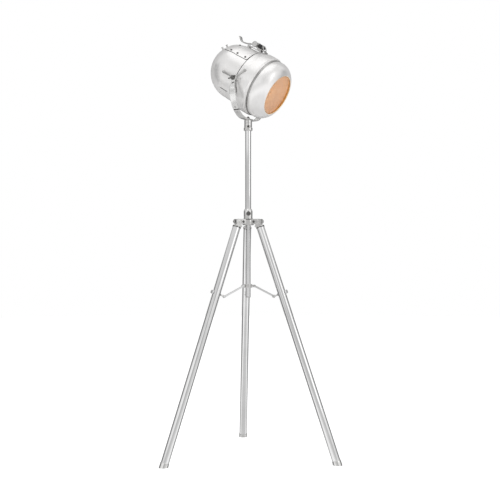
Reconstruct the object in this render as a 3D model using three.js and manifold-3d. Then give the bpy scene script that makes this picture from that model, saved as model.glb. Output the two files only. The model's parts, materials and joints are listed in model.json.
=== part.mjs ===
// Tripod floor lamp: a searchlight head in a U-shaped yoke, on a column that slides in a folding
// tripod. Millimetres, +Z up. The column's axis is X = Y = 0 inside the model's group, and the
// group is shifted at the end so that the lamp stands with the middle of its base on the origin.
import * as THREE from 'three';
import { mergeVertices } from 'three/addons/utils/BufferGeometryUtils.js';
import Module from 'manifold-3d';

const wasm = await Module();
wasm.setup();

// ---- driving dimensions ----

const GAP = 0.3;                    // clearance between pieces that touch
const ROUND = 14;                   // sides of a tube
const SMALL_ROUND = 10;             // sides of a screw, pin or knob
const HEAD_ROUND = 24;              // sides of the lamp head

const LEG_TILT = THREE.MathUtils.degToRad(19.74);   // from vertical
const LEG_HINGE_RADIUS = 47.1;      // hinge pin from the column's axis
const LEG_HINGE_HEIGHT = 943;
const LEG_TUBE_RADIUS = 16;
const LEG_TUBE_WALL = 1.5;
const LEG_TUBE_START = 23;          // along the leg from its hinge
const LEG_TUBE_END = 992;
const FOOT_RADIUS = 17.4;
const FOOT_START = 983;
const TONGUE_WIDTH = 14;

const EAR_HALF_HEIGHT = 10;
const EAR_END = 54;                 // centre of an ear's rounded end from the column's axis
const EAR_THICKNESS = 6;
const EAR_MIDDLE = 944;
const HUB_RADIUS = 23;
const HUB_BOTTOM = 930;
const HUB_TOP = 955;
const CLAMP_RADIUS = 18;
const CLAMP_TOP = 988;
const CLAMP_CONE_TOP = 996;
const CLAMP_SCREW_HEIGHT = 976;

const COLUMN_RADIUS = 12;           // upper tube, held by the hub's clamp
const COLUMN_WALL = 1.5;
const COLUMN_STEP = 946;            // lower end of the upper tube
const GUIDE_RADIUS = 10;            // lower tube, which the spreader ring slides on
const COLUMN_BOTTOM = 642;
const COLUMN_TOP = 1349.5;

const SPREADER_HEIGHT = 684;
const SPREADER_RADIUS = 16.5;
const SPREADER_PIN_RADIUS = 26;     // strut pin from the column's axis
const EYE_STATION = 304;            // strut eye along the leg from its hinge
const EYE_REACH = 38;               // strut eye inward from the leg's axis
const STRUT_THICKNESS = 3;
const EYE_HALF_THICKNESS = 3;
const STRUT_WIDTH = 7;

const COLLAR_BOTTOM = 1312;
const COLLAR_TOP = 1355.7;
const COLLAR_RADIUS = 15.8;
const COLLAR_BEAD_RADIUS = 18;
const STEM_SCREW_HEIGHT = 1329;

const YOKE_PAN = THREE.MathUtils.degToRad(29.8);    // the head points this far towards -Y from +X
const YOKE_BASE_TOP = 1360.5;
const YOKE_THICKNESS = 4.5;
const YOKE_WIDTH = 25;
const YOKE_NECK_WIDTH = 15;
const YOKE_FLAT = 36;               // half the flat part of the U
const YOKE_BEND = 104;              // radius of the U's two bends
const YOKE_LAP_ANGLE = THREE.MathUtils.degToRad(42);
const TILT_HEIGHT = 1505;
const TILT_HALF_SPAN = 131;         // middle of the yoke arm at the tilt axis

const HEAD_HEIGHT = 1524;           // where the head's axis crosses the column's axis
const HEAD_DIP = THREE.MathUtils.degToRad(30.9);
const SHELL_WALL = 2;
const DOME_RADIUS = 111;
const DOME_CENTRE = -54;            // along the head's axis, positive towards the aperture
const SEAM = 12;                    // rear edge of the clamp ring
const BODY_RADIUS = 114;            // housing at the seam
const RING_RADIUS = 119;
const BEZEL_RADIUS = 125;
const HOOD_ARC_CENTRE = [103, 66.5];
const HOOD_ARC_RADIUS = 53;
const APERTURE_STATION = 153;

// ---- materials ----

const NICKEL = new THREE.MeshStandardMaterial({ color: 0xd9d8d4, roughness: 0.12, metalness: 1 });
const DARK_NICKEL = new THREE.MeshStandardMaterial({ color: 0x8f8d88, roughness: 0.25, metalness: 1 });
const STEEL = new THREE.MeshStandardMaterial({ color: 0xb9b8b5, roughness: 0.3, metalness: 1 });
const RUBBER = new THREE.MeshStandardMaterial({ color: 0x141414, roughness: 0.7, metalness: 0 });
const REFLECTOR = new THREE.MeshStandardMaterial({ color: 0xe3b68f, roughness: 0.25, metalness: 1 });
const PORCELAIN = new THREE.MeshStandardMaterial({ color: 0xf1efe8, roughness: 0.4, metalness: 0 });
const BULB_GLASS = new THREE.MeshStandardMaterial({ color: 0xfff1dc, roughness: 0.2, metalness: 0 });

// ---- shape helpers ----

const AXIS_X = new THREE.Vector3(1, 0, 0);
const AXIS_Y = new THREE.Vector3(0, 1, 0);
const AXIS_Z = new THREE.Vector3(0, 0, 1);
// A drawing's x and y become these two axes, and its extrusion the third.
const DRAWN_IN_YZ = new THREE.Matrix4().makeBasis(AXIS_Y, AXIS_Z, AXIS_X);
const DRAWN_IN_XZ = new THREE.Matrix4().makeBasis(AXIS_X, AXIS_Z, AXIS_Y.clone().negate());

function at(x, y, z) {
  return new THREE.Vector3(x, y, z);
}

function toSolid(geometry) {
  const bare = new THREE.BufferGeometry();
  bare.setAttribute('position', geometry.getAttribute('position').clone());
  if (geometry.index) bare.setIndex(geometry.index.clone());
  const merged = mergeVertices(bare, 1e-4);
  const corners = merged.getAttribute('position').array;
  const index = merged.index.array;
  const triangles = [];
  for (let i = 0; i < index.length; i += 3) {
    const [a, b, c] = [index[i], index[i + 1], index[i + 2]];
    if (a !== b && b !== c && c !== a) triangles.push(a, b, c);
  }
  if (signedVolume(corners, triangles) < 0) triangles.reverse();
  return new wasm.Manifold(new wasm.Mesh({
    numProp: 3,
    vertProperties: Float32Array.from(corners),
    triVerts: Uint32Array.from(triangles),
  }));
}

function signedVolume(corners, triangles) {
  const [a, b, c] = [new THREE.Vector3(), new THREE.Vector3(), new THREE.Vector3()];
  let total = 0;
  for (let i = 0; i < triangles.length; i += 3) {
    a.fromArray(corners, 3 * triangles[i]);
    b.fromArray(corners, 3 * triangles[i + 1]);
    c.fromArray(corners, 3 * triangles[i + 2]);
    total += a.dot(b.cross(c)) / 6;
  }
  return total;
}

function toGeometry(solid) {
  const mesh = solid.getMesh();
  const geometry = new THREE.BufferGeometry();
  geometry.setAttribute('position', new THREE.BufferAttribute(Float32Array.from(mesh.vertProperties), 3));
  geometry.setIndex(new THREE.BufferAttribute(Uint32Array.from(mesh.triVerts), 1));
  geometry.computeVertexNormals();
  return geometry;
}

function join(...geometries) {
  return toGeometry(geometries.map(toSolid).reduce((whole, next) => whole.add(next)));
}

function cut(geometry, ...tools) {
  return toGeometry(tools.map(toSolid).reduce((left, tool) => left.subtract(tool), toSolid(geometry)));
}

function common(first, second) {
  return toGeometry(toSolid(first).intersect(toSolid(second)));
}

// Turned about Z from [radius, height] points.
function turned(points, sides = ROUND) {
  const outline = points.map(([radius, height]) => new THREE.Vector2(radius, height));
  return new THREE.LatheGeometry(outline, sides).rotateX(Math.PI / 2);
}

// Turned about X from [station, radius] points: the head's own axis.
function turnedX(points, sides = HEAD_ROUND) {
  const outline = points.map(([station, radius]) => new THREE.Vector2(radius, station));
  return new THREE.LatheGeometry(outline, sides).rotateZ(-Math.PI / 2);
}

function closedLoop(points) {
  return [...points, points[0]];
}

function sleeve(outer, inner, bottom, top, sides = ROUND) {
  return turned(closedLoop([[outer, bottom], [outer, top], [inner, top], [inner, bottom]]), sides);
}

function rod(radius, from, to, sides = SMALL_ROUND) {
  const direction = to.clone().sub(from);
  const geometry = new THREE.CylinderGeometry(radius, radius, direction.length(), sides);
  geometry.applyQuaternion(new THREE.Quaternion().setFromUnitVectors(AXIS_Y, direction.normalize()));
  const middle = from.clone().add(to).multiplyScalar(0.5);
  return geometry.translate(middle.x, middle.y, middle.z);
}

function block(low, high) {
  const size = high.clone().sub(low);
  const middle = low.clone().add(high).multiplyScalar(0.5);
  return new THREE.BoxGeometry(size.x, size.y, size.z).translate(middle.x, middle.y, middle.z);
}

// A flat bar from one point to another; its width lies across `flatNormal`.
function bar(from, to, width, thickness, flatNormal) {
  const along = to.clone().sub(from);
  const length = along.length();
  const x = along.normalize();
  const y = flatNormal.clone().cross(x).normalize();
  const z = x.clone().cross(y);
  const middle = from.clone().add(to).multiplyScalar(0.5);
  const frame = new THREE.Matrix4().makeBasis(x, y, z).setPosition(middle);
  return new THREE.BoxGeometry(length, width, thickness).applyMatrix4(frame);
}

function extruded(points, depth, frame) {
  const shape = new THREE.Shape(points.map(([x, y]) => new THREE.Vector2(x, y)));
  const geometry = new THREE.ExtrudeGeometry(shape, { depth, bevelEnabled: false });
  return geometry.translate(0, 0, -depth / 2).applyMatrix4(frame);
}

// The outline of a strip of this thickness along a path of [x, y] points.
function strip(path, thickness) {
  const left = [];
  const right = [];
  path.forEach(([x, y], i) => {
    const [x0, y0] = path[Math.max(i - 1, 0)];
    const [x1, y1] = path[Math.min(i + 1, path.length - 1)];
    const length = Math.hypot(x1 - x0, y1 - y0);
    const offset = [-(y1 - y0) / length * thickness / 2, (x1 - x0) / length * thickness / 2];
    left.push([x + offset[0], y + offset[1]]);
    right.unshift([x - offset[0], y - offset[1]]);
  });
  return [...left, ...right];
}

// Points [centre + radius * (cos, sin)] of an arc between two angles.
function arc([x, y], radius, from, to, steps) {
  return Array.from({ length: steps + 1 }, (_, i) => {
    const angle = from + (to - from) * i / steps;
    return [x + radius * Math.cos(angle), y + radius * Math.sin(angle)];
  });
}

function piece(parent, name, geometry, material) {
  const mesh = new THREE.Mesh(toGeometry(toSolid(geometry)), material);
  mesh.name = name;
  parent.add(mesh);
}

// A knob head with lobes round its rim, pointing along +Z from z = 0.
function knurledHead(radius, length, lobes, depth) {
  const outline = Array.from({ length: lobes * 2 }, (_, i) => {
    const reach = i % 2 ? radius - depth : radius;
    const angle = Math.PI * i / lobes;
    return [reach * Math.cos(angle), reach * Math.sin(angle)];
  });
  return extruded(outline, length, new THREE.Matrix4()).translate(0, 0, length / 2);
}

// A hub with two wings and a plain stud behind it, pointing along +Z from z = 0.
function wingScrew({ hub, hubLength, span, wing, stud, studLength }) {
  const boss = turned([[0, 0], [hub, 0], [hub, hubLength * 0.7], [hub * 0.6, hubLength], [0, hubLength]],
    SMALL_ROUND);
  const wings = [1, -1].map((side) => {
    const tip = at(side * span, 0, hubLength);
    return join(
      bar(at(side * hub * 0.4, 0, hubLength * 0.45), tip, wing, wing * 0.35, AXIS_Y),
      rod(wing * 0.55, at(tip.x, -wing * 0.2, tip.z), at(tip.x, wing * 0.2, tip.z), 12),
    );
  });
  const shank = rod(stud, at(0, 0, -studLength), at(0, 0, 0.5));
  return join(boss, shank, ...wings);
}

function facing(geometry, direction, position) {
  geometry.applyQuaternion(new THREE.Quaternion().setFromUnitVectors(AXIS_Z, direction));
  return geometry.translate(position.x, position.y, position.z);
}

// ---- tripod ----

function buildHub(parent) {
  const boss = turned([
    [0, HUB_BOTTOM + 2], [HUB_RADIUS - 2, HUB_BOTTOM], [HUB_RADIUS, HUB_BOTTOM + 2], [HUB_RADIUS, HUB_TOP - 2],
    [HUB_RADIUS - 2, HUB_TOP], [CLAMP_RADIUS, HUB_TOP], [CLAMP_RADIUS, CLAMP_TOP],
    [COLUMN_RADIUS + 2, CLAMP_CONE_TOP], [0, CLAMP_CONE_TOP]]);
  const ears = [90, 210, 330].flatMap((degrees) => [1, -1].map((side) => {
    const middle = side * (TONGUE_WIDTH / 2 + 0.4 + EAR_THICKNESS / 2);
    const outline = [
      [12, EAR_MIDDLE - EAR_HALF_HEIGHT],
      ...arc([EAR_END, EAR_MIDDLE], EAR_HALF_HEIGHT, -Math.PI / 2, Math.PI / 2, 5),
      [12, EAR_MIDDLE + EAR_HALF_HEIGHT]];
    return extruded(outline, EAR_THICKNESS, DRAWN_IN_XZ)
      .translate(0, middle, 0)
      .rotateZ(THREE.MathUtils.degToRad(degrees));
  }));
  const stops = [90, 210, 330].map((degrees) => block(at(LEG_HINGE_RADIUS + 11.9, -8, EAR_MIDDLE - 6),
    at(LEG_HINGE_RADIUS + 16, 8, EAR_MIDDLE + 6)).rotateZ(THREE.MathUtils.degToRad(degrees)));
  const pinHoles = [90, 210, 330].map((degrees) => rod(4 + GAP, at(LEG_HINGE_RADIUS, -20, LEG_HINGE_HEIGHT),
    at(LEG_HINGE_RADIUS, 20, LEG_HINGE_HEIGHT)).rotateZ(THREE.MathUtils.degToRad(degrees)));
  const bore = rod(COLUMN_RADIUS + GAP, at(0, 0, HUB_BOTTOM - 5), at(0, 0, CLAMP_CONE_TOP + 5), ROUND);
  const slit = block(at(-1, -CLAMP_RADIUS - 2, HUB_TOP + 2), at(1, 0, CLAMP_CONE_TOP + 2));
  const screwHole = rod(3 + GAP, at(0, -CLAMP_RADIUS - 2, CLAMP_SCREW_HEIGHT), at(0, 0, CLAMP_SCREW_HEIGHT));
  piece(parent, 'hub_casting', cut(join(boss, ...ears, ...stops), ...pinHoles, bore, slit, screwHole), NICKEL);

  const face = CLAMP_RADIUS + GAP;
  const head = knurledHead(9, 9, 12, 0.8);
  const stud = rod(3, at(0, 0, -(face - COLUMN_RADIUS - 2 * GAP)), at(0, 0, 0.5));
  piece(parent, 'column_clamp_screw',
    facing(join(head, stud), at(0, -1, 0), at(0, -face, CLAMP_SCREW_HEIGHT)), DARK_NICKEL);
}

function buildLeg(parent, number, degrees) {
  const radial = new THREE.Group();
  radial.rotation.z = THREE.MathUtils.degToRad(degrees);
  parent.add(radial);
  const pinEnd = TONGUE_WIDTH / 2 + 0.4 + EAR_THICKNESS + GAP;
  const hingeRod = rod(4, at(0, -pinEnd - 0.5, 0), at(0, pinEnd + 0.5, 0));
  const hingeHeads = [1, -1].map((side) => rod(6.5, at(0, side * pinEnd, 0), at(0, side * (pinEnd + 3), 0)));
  piece(radial, `hinge_pin_${number}`,
    join(hingeRod, ...hingeHeads).translate(LEG_HINGE_RADIUS, 0, LEG_HINGE_HEIGHT), NICKEL);

  const leg = new THREE.Group();       // -Z runs down the leg from its hinge, +X faces outwards
  leg.position.set(LEG_HINGE_RADIUS, 0, LEG_HINGE_HEIGHT);
  leg.rotation.y = -LEG_TILT;
  radial.add(leg);

  const bore = LEG_TUBE_RADIUS - LEG_TUBE_WALL;
  const capTop = -18;
  const tubeTop = -LEG_TUBE_START;
  const cap = turned([[0, tubeTop - 25], [bore - GAP, tubeTop - 25], [bore - GAP, tubeTop + GAP],
    [LEG_TUBE_RADIUS + 1, tubeTop + GAP], [LEG_TUBE_RADIUS + 1, capTop - 2], [LEG_TUBE_RADIUS - 1, capTop],
    [0, capTop]]);
  const tongueOutline = [[-16, capTop - 1], [9, capTop - 1], ...arc([0, 0], 9, 0, Math.PI, 6), [-20, -12],
    [-20, capTop + 2]];
  const tongue = extruded(tongueOutline, TONGUE_WIDTH, DRAWN_IN_XZ);
  const crossPin = rod(3, at(-15.5, -TONGUE_WIDTH / 2 - 2, -13.5), at(-15.5, TONGUE_WIDTH / 2 + 2, -13.5), 12);
  const hingeBore = rod(4 + GAP, at(0, -20, 0), at(0, 20, 0));
  piece(leg, `leg_fitting_${number}`, cut(join(cap, tongue, crossPin), hingeBore), NICKEL);

  const boltHole = rod(3 + GAP, at(-30, 0, -EYE_STATION), at(30, 0, -EYE_STATION));
  const tube = sleeve(LEG_TUBE_RADIUS, bore, -LEG_TUBE_END, tubeTop);
  piece(leg, `leg_tube_${number}`, cut(tube, boltHole), NICKEL);

  const ferrule = turned([[0, -LEG_TUBE_END - 20], [FOOT_RADIUS, -LEG_TUBE_END - 20], [FOOT_RADIUS, -FOOT_START - 1],
    [FOOT_RADIUS - 1, -FOOT_START], [LEG_TUBE_RADIUS + GAP, -FOOT_START], [LEG_TUBE_RADIUS + GAP, -LEG_TUBE_END - GAP],
    [0, -LEG_TUBE_END - GAP]]);
  const ground = block(at(-60, -60, -80), at(60, 60, 0)).rotateY(LEG_TILT);
  const groundDistance = LEG_HINGE_HEIGHT / Math.cos(LEG_TILT);
  piece(leg, `foot_${number}`, cut(ferrule, ground.translate(0, 0, -groundDistance)), NICKEL);

  const eyeCentre = at(-EYE_REACH, 0, -EYE_STATION);
  const boltEnd = at(LEG_TUBE_RADIUS + 6, 0, -EYE_STATION);
  const eyePlate = rod(6, at(-EYE_REACH, -EYE_HALF_THICKNESS, -EYE_STATION),
    at(-EYE_REACH, EYE_HALF_THICKNESS, -EYE_STATION));
  const shoulder = rod(5, at(-LEG_TUBE_RADIUS - 3, 0, -EYE_STATION), at(-LEG_TUBE_RADIUS - GAP, 0, -EYE_STATION));
  piece(leg, `strut_eye_${number}`, join(rod(3, eyeCentre, boltEnd), eyePlate, shoulder), NICKEL);

  const nutStart = LEG_TUBE_RADIUS + GAP;
  const nut = cut(knurledHead(7.5, 8, 8, 1), rod(3 + GAP, at(0, 0, -1), at(0, 0, 6.2)));
  piece(leg, `strut_knob_${number}`, facing(nut, AXIS_X, at(nutStart, 0, -EYE_STATION)), NICKEL);

  buildStrut(radial, number);
}

function strutEnd() {
  const sine = Math.sin(LEG_TILT);
  const cosine = Math.cos(LEG_TILT);
  return at(LEG_HINGE_RADIUS + EYE_STATION * sine - EYE_REACH * cosine, 0,
    LEG_HINGE_HEIGHT - EYE_STATION * cosine - EYE_REACH * sine);
}

// The strut lies beside the leg's eye plate, with its outer pivot's rivet on the strut alone.
function buildStrut(radial, number) {
  const inner = at(SPREADER_PIN_RADIUS, 0, SPREADER_HEIGHT);
  const outer = strutEnd();
  const side = EYE_HALF_THICKNESS + GAP + STRUT_THICKNESS / 2;
  const disc = (centre, radius, from, to) => rod(radius, at(centre.x, from, centre.z), at(centre.x, to, centre.z));
  const low = side - STRUT_THICKNESS / 2;
  const high = side + STRUT_THICKNESS / 2;
  const shank = bar(at(inner.x, side, inner.z), at(outer.x, side, outer.z), STRUT_WIDTH, STRUT_THICKNESS, AXIS_Y);
  const strut = join(shank, disc(inner, 5, low, high), disc(outer, 5, low, high), disc(outer, 3, high - 0.5, high + 2));
  piece(radial, `strut_${number}`, cut(strut, disc(inner, 2.5, low - 1, high + 1)), NICKEL);
  const pin = join(disc(inner, 2, -EYE_HALF_THICKNESS, high + GAP), disc(inner, 3.5, high + GAP, high + 2.5));
  piece(radial, `strut_pin_${number}`, pin, NICKEL);
}

function buildSpreader(parent) {
  const half = EYE_HALF_THICKNESS;
  const low = SPREADER_HEIGHT - 7;
  const high = SPREADER_HEIGHT + 7;
  const ring = turned(closedLoop([[SPREADER_RADIUS - 1, low], [SPREADER_RADIUS, low + 1], [SPREADER_RADIUS, high - 1],
    [SPREADER_RADIUS - 1, high], [GUIDE_RADIUS + 0.5, high], [GUIDE_RADIUS + 0.5, low]]));
  const lugs = [90, 210, 330].map((degrees) => {
    const lug = join(
      block(at(SPREADER_RADIUS - 3, -half, SPREADER_HEIGHT - 5), at(SPREADER_PIN_RADIUS, half, SPREADER_HEIGHT + 5)),
      rod(5, at(SPREADER_PIN_RADIUS, -half, SPREADER_HEIGHT), at(SPREADER_PIN_RADIUS, half, SPREADER_HEIGHT)),
    );
    return lug.rotateZ(THREE.MathUtils.degToRad(degrees));
  });
  const holes = [90, 210, 330].map((degrees) => rod(2 + GAP, at(SPREADER_PIN_RADIUS, -4, SPREADER_HEIGHT),
    at(SPREADER_PIN_RADIUS, 4, SPREADER_HEIGHT)).rotateZ(THREE.MathUtils.degToRad(degrees)));
  piece(parent, 'spreader_ring', cut(join(ring, ...lugs), ...holes), NICKEL);
}

// ---- column ----

function buildColumn(parent) {
  const bore = COLUMN_RADIUS - COLUMN_WALL;
  piece(parent, 'column_tube', sleeve(COLUMN_RADIUS, bore, COLUMN_STEP, COLUMN_TOP), NICKEL);
  const guideBore = GUIDE_RADIUS - COLUMN_WALL;
  piece(parent, 'column_guide_tube', sleeve(GUIDE_RADIUS, guideBore, COLUMN_BOTTOM, COLUMN_STEP + 60), NICKEL);
  piece(parent, 'column_end_cap', turned([[0, COLUMN_BOTTOM - 5], [GUIDE_RADIUS - 2, COLUMN_BOTTOM - 5],
    [GUIDE_RADIUS, COLUMN_BOTTOM - 3], [GUIDE_RADIUS, COLUMN_BOTTOM - GAP], [guideBore - GAP, COLUMN_BOTTOM - GAP],
    [guideBore - GAP, COLUMN_BOTTOM + 12], [0, COLUMN_BOTTOM + 12]]), NICKEL);

  const plateBottom = COLUMN_TOP + GAP;
  const collar = turned(closedLoop([
    [COLUMN_RADIUS + GAP, COLLAR_BOTTOM], [COLLAR_BEAD_RADIUS - 2, COLLAR_BOTTOM], [COLLAR_BEAD_RADIUS, COLLAR_BOTTOM + 3],
    [COLLAR_BEAD_RADIUS, COLLAR_BOTTOM + 11], [COLLAR_RADIUS, COLLAR_BOTTOM + 14], [COLLAR_RADIUS, COLLAR_TOP - 1],
    [COLLAR_RADIUS - 1, COLLAR_TOP], [5 + GAP, COLLAR_TOP], [5 + GAP, plateBottom], [COLUMN_RADIUS + GAP, plateBottom]]));
  const screwHole = rod(2.5 + GAP, at(0, -COLLAR_RADIUS - 3, STEM_SCREW_HEIGHT), at(0, 0, STEM_SCREW_HEIGHT));
  piece(parent, 'stem_collar', cut(collar, screwHole), NICKEL);

  const face = COLLAR_RADIUS + GAP;
  const screw = wingScrew({ hub: 3.6, hubLength: 6, span: 6.5, wing: 4.5, stud: 2.5,
    studLength: face - COLUMN_RADIUS - GAP });
  piece(parent, 'stem_wing_screw', facing(screw, at(0, -1, 0), at(0, -face, STEM_SCREW_HEIGHT)), DARK_NICKEL);

  const nutBottom = YOKE_BASE_TOP + GAP;
  const nut = join(
    turned([[0, nutBottom], [6.5, nutBottom], [6.5, nutBottom + 3.5], [0, nutBottom + 3.5]], 6),
    turned([[0, nutBottom + 3], [4.5, nutBottom + 3], [3, nutBottom + 7], [0, nutBottom + 9]], SMALL_ROUND),
    rod(5, at(0, 0, COLUMN_TOP - 8), at(0, 0, nutBottom + 1)),
  );
  piece(parent, 'yoke_nut', nut, DARK_NICKEL);
}

// ---- yoke ----

// The middle line of the strap from the lap joint's side, as [lateral, height], going outwards.
function yokePath() {
  const floor = YOKE_BASE_TOP - YOKE_THICKNESS / 2;
  const bendCentre = [YOKE_FLAT, floor + YOKE_BEND];
  const bend = arc(bendCentre, YOKE_BEND, -Math.PI / 2, 0, 12);
  const bendEnd = bend[bend.length - 1];
  const narrowing = new THREE.QuadraticBezierCurve(
    new THREE.Vector2(...bendEnd),
    new THREE.Vector2(bendEnd[0], bendEnd[1] + 14),
    new THREE.Vector2(TILT_HALF_SPAN, TILT_HEIGHT - 17),
  ).getPoints(4).slice(1).map((point) => [point.x, point.y]);
  return { bendCentre, bend, rest: [...narrowing, [TILT_HALF_SPAN, TILT_HEIGHT + 14]] };
}

function yokeWidthOutline() {
  const half = YOKE_WIDTH / 2;
  const neck = YOKE_NECK_WIDTH / 2;
  const waist = TILT_HEIGHT - 16;
  return [[-half, 1300], [half, 1300], [half, TILT_HEIGHT - 62], [half - 1, TILT_HEIGHT - 45], [neck, waist],
    ...arc([0, TILT_HEIGHT], 10, -Math.PI / 4, Math.PI * 1.25, 12), [-neck, waist], [-half + 1, TILT_HEIGHT - 45],
    [-half, TILT_HEIGHT - 62]];
}

function buildYoke(parent) {
  const { bendCentre, bend, rest } = yokePath();
  const lapStart = -Math.PI / 2 + YOKE_LAP_ANGLE;
  const lapGap = GAP / YOKE_BEND;
  const mirrored = (path) => path.map(([x, y]) => [-x, y]).reverse();

  const baseHalf = [[0, bend[0][1]], ...arc(bendCentre, YOKE_BEND, -Math.PI / 2, lapStart, 6)];
  const basePath = [...mirrored(baseHalf), ...baseHalf.slice(1)];
  const doublerRadius = YOKE_BEND - YOKE_THICKNESS / 2 - GAP - 1.5;
  const doubler = arc(bendCentre, doublerRadius, lapStart - 0.25, lapStart + 0.16, 4);
  const doublerKey = arc(bendCentre, YOKE_BEND - YOKE_THICKNESS / 2, lapStart - 0.25, lapStart - 0.08, 3);
  const base = join(
    extruded(strip(basePath, YOKE_THICKNESS), YOKE_WIDTH, DRAWN_IN_YZ),
    ...[doubler, mirrored(doubler)].map((path) => extruded(strip(path, 3), YOKE_WIDTH - 8, DRAWN_IN_YZ)),
    ...[doublerKey, mirrored(doublerKey)].map((path) => extruded(strip(path, 1.5), YOKE_WIDTH - 8, DRAWN_IN_YZ)),
  );
  const stemHole = rod(5 + GAP, at(0, 0, 1340), at(0, 0, 1380));
  piece(parent, 'yoke_base', cut(base, stemHole), NICKEL);

  const armPath = [...arc(bendCentre, YOKE_BEND, lapStart + lapGap, 0, 7), ...rest];
  const widths = extruded(yokeWidthOutline(), 2 * TILT_HALF_SPAN + 60, DRAWN_IN_XZ);
  [['near', mirrored(armPath), -1], ['far', armPath, 1]].forEach(([name, path, side]) => {
    const arm = common(extruded(strip(path, YOKE_THICKNESS), YOKE_WIDTH, DRAWN_IN_YZ), widths);
    const tiltHole = rod(4 + GAP, at(0, side * 110, TILT_HEIGHT), at(0, side * 150, TILT_HEIGHT));
    piece(parent, `yoke_arm_${name}`, cut(arm, tiltHole), NICKEL);

    const knob = wingScrew({ hub: 9, hubLength: 12, span: 13, wing: 10, stud: 4, studLength: 9.5 });
    const outside = TILT_HALF_SPAN + YOKE_THICKNESS / 2 + GAP;
    piece(parent, `tilt_knob_${name}`, facing(knob.rotateZ(Math.PI * 0.1), at(0, side, 0),
      at(0, side * outside, TILT_HEIGHT)), DARK_NICKEL);
  });
}

// ---- head ----

function domeArc(radius, steps, from = Math.PI, to = Math.PI / 2) {
  return arc([DOME_CENTRE, 0], radius, from, to, steps).map(([s, r]) => [s, Math.max(r, 0)]);
}

// Everything inside this turned solid is within `margin` of the head's outer skin or deeper.
function headEnvelope(margin) {
  const flat = BODY_RADIUS + margin;
  return turnedX([...domeArc(DOME_RADIUS + margin, 7), [SEAM - 4, flat], [SEAM - margin, flat],
    [SEAM - margin, RING_RADIUS + margin], [40 - margin, RING_RADIUS + margin], [42 - margin, BEZEL_RADIUS + margin],
    [78, BEZEL_RADIUS + margin], [86, 118], [86, 0]]);
}

// A point on the head's skin: station along the axis, angle from the top towards the near side.
function onSkin(station, degrees, radius) {
  const angle = THREE.MathUtils.degToRad(degrees);
  return at(station, -radius * Math.sin(angle), radius * Math.cos(angle));
}

function skinRadius(station) {
  if (station >= SEAM) return RING_RADIUS;
  if (station >= DOME_CENTRE) {
    return DOME_RADIUS + (BODY_RADIUS - DOME_RADIUS) * (station - DOME_CENTRE) / (SEAM - 4 - DOME_CENTRE);
  }
  return Math.sqrt(DOME_RADIUS ** 2 - (station - DOME_CENTRE) ** 2);
}

function skinNormal(station, degrees) {
  const lean = Math.min(station - DOME_CENTRE, 0);
  return onSkin(lean, degrees, Math.sqrt(DOME_RADIUS ** 2 - lean ** 2)).normalize();
}

const HATCH = { rear: -118, front: 7, low: 55, high: 15 };     // stations, and degrees from the top
const HATCH_SCREWS = [[-82, 49], [-48, 50], [-8, 50], [-81, 21]];
const HATCH_STUDS = [[-135, 42], [-128, 30]];
const GLAND_DIRECTION = at(-0.55, 0.45, -0.7).normalize();

// The part of a turned shell between two angles from the top.
function sector(profile, highDegrees, lowDegrees) {
  const start = THREE.MathUtils.degToRad(highDegrees);
  const length = THREE.MathUtils.degToRad(lowDegrees - highDegrees);
  const steps = 8;
  const reach = 400;
  const wedge = [[0, 0], ...Array.from({ length: steps + 1 }, (_, i) => {
    const angle = start + length * i / steps;
    return [-reach * Math.sin(angle), reach * Math.cos(angle)];
  })];
  return common(turnedX(profile), extruded(wedge, 600, DRAWN_IN_YZ));
}

function shellBetween(inner, outer, rear, front) {
  const rearAngle = (radius) => Math.acos((rear - DOME_CENTRE) / radius);
  const outside = domeArc(DOME_RADIUS + outer, 5, rearAngle(DOME_RADIUS + outer));
  const inside = domeArc(DOME_RADIUS + inner, 5, rearAngle(DOME_RADIUS + inner));
  const slope = (BODY_RADIUS - DOME_RADIUS) * (front - DOME_CENTRE) / (SEAM - 4 - DOME_CENTRE);
  return closedLoop([...outside, [front, DOME_RADIUS + slope + outer], [front, DOME_RADIUS + slope + inner],
    ...inside.reverse()]);
}

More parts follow.
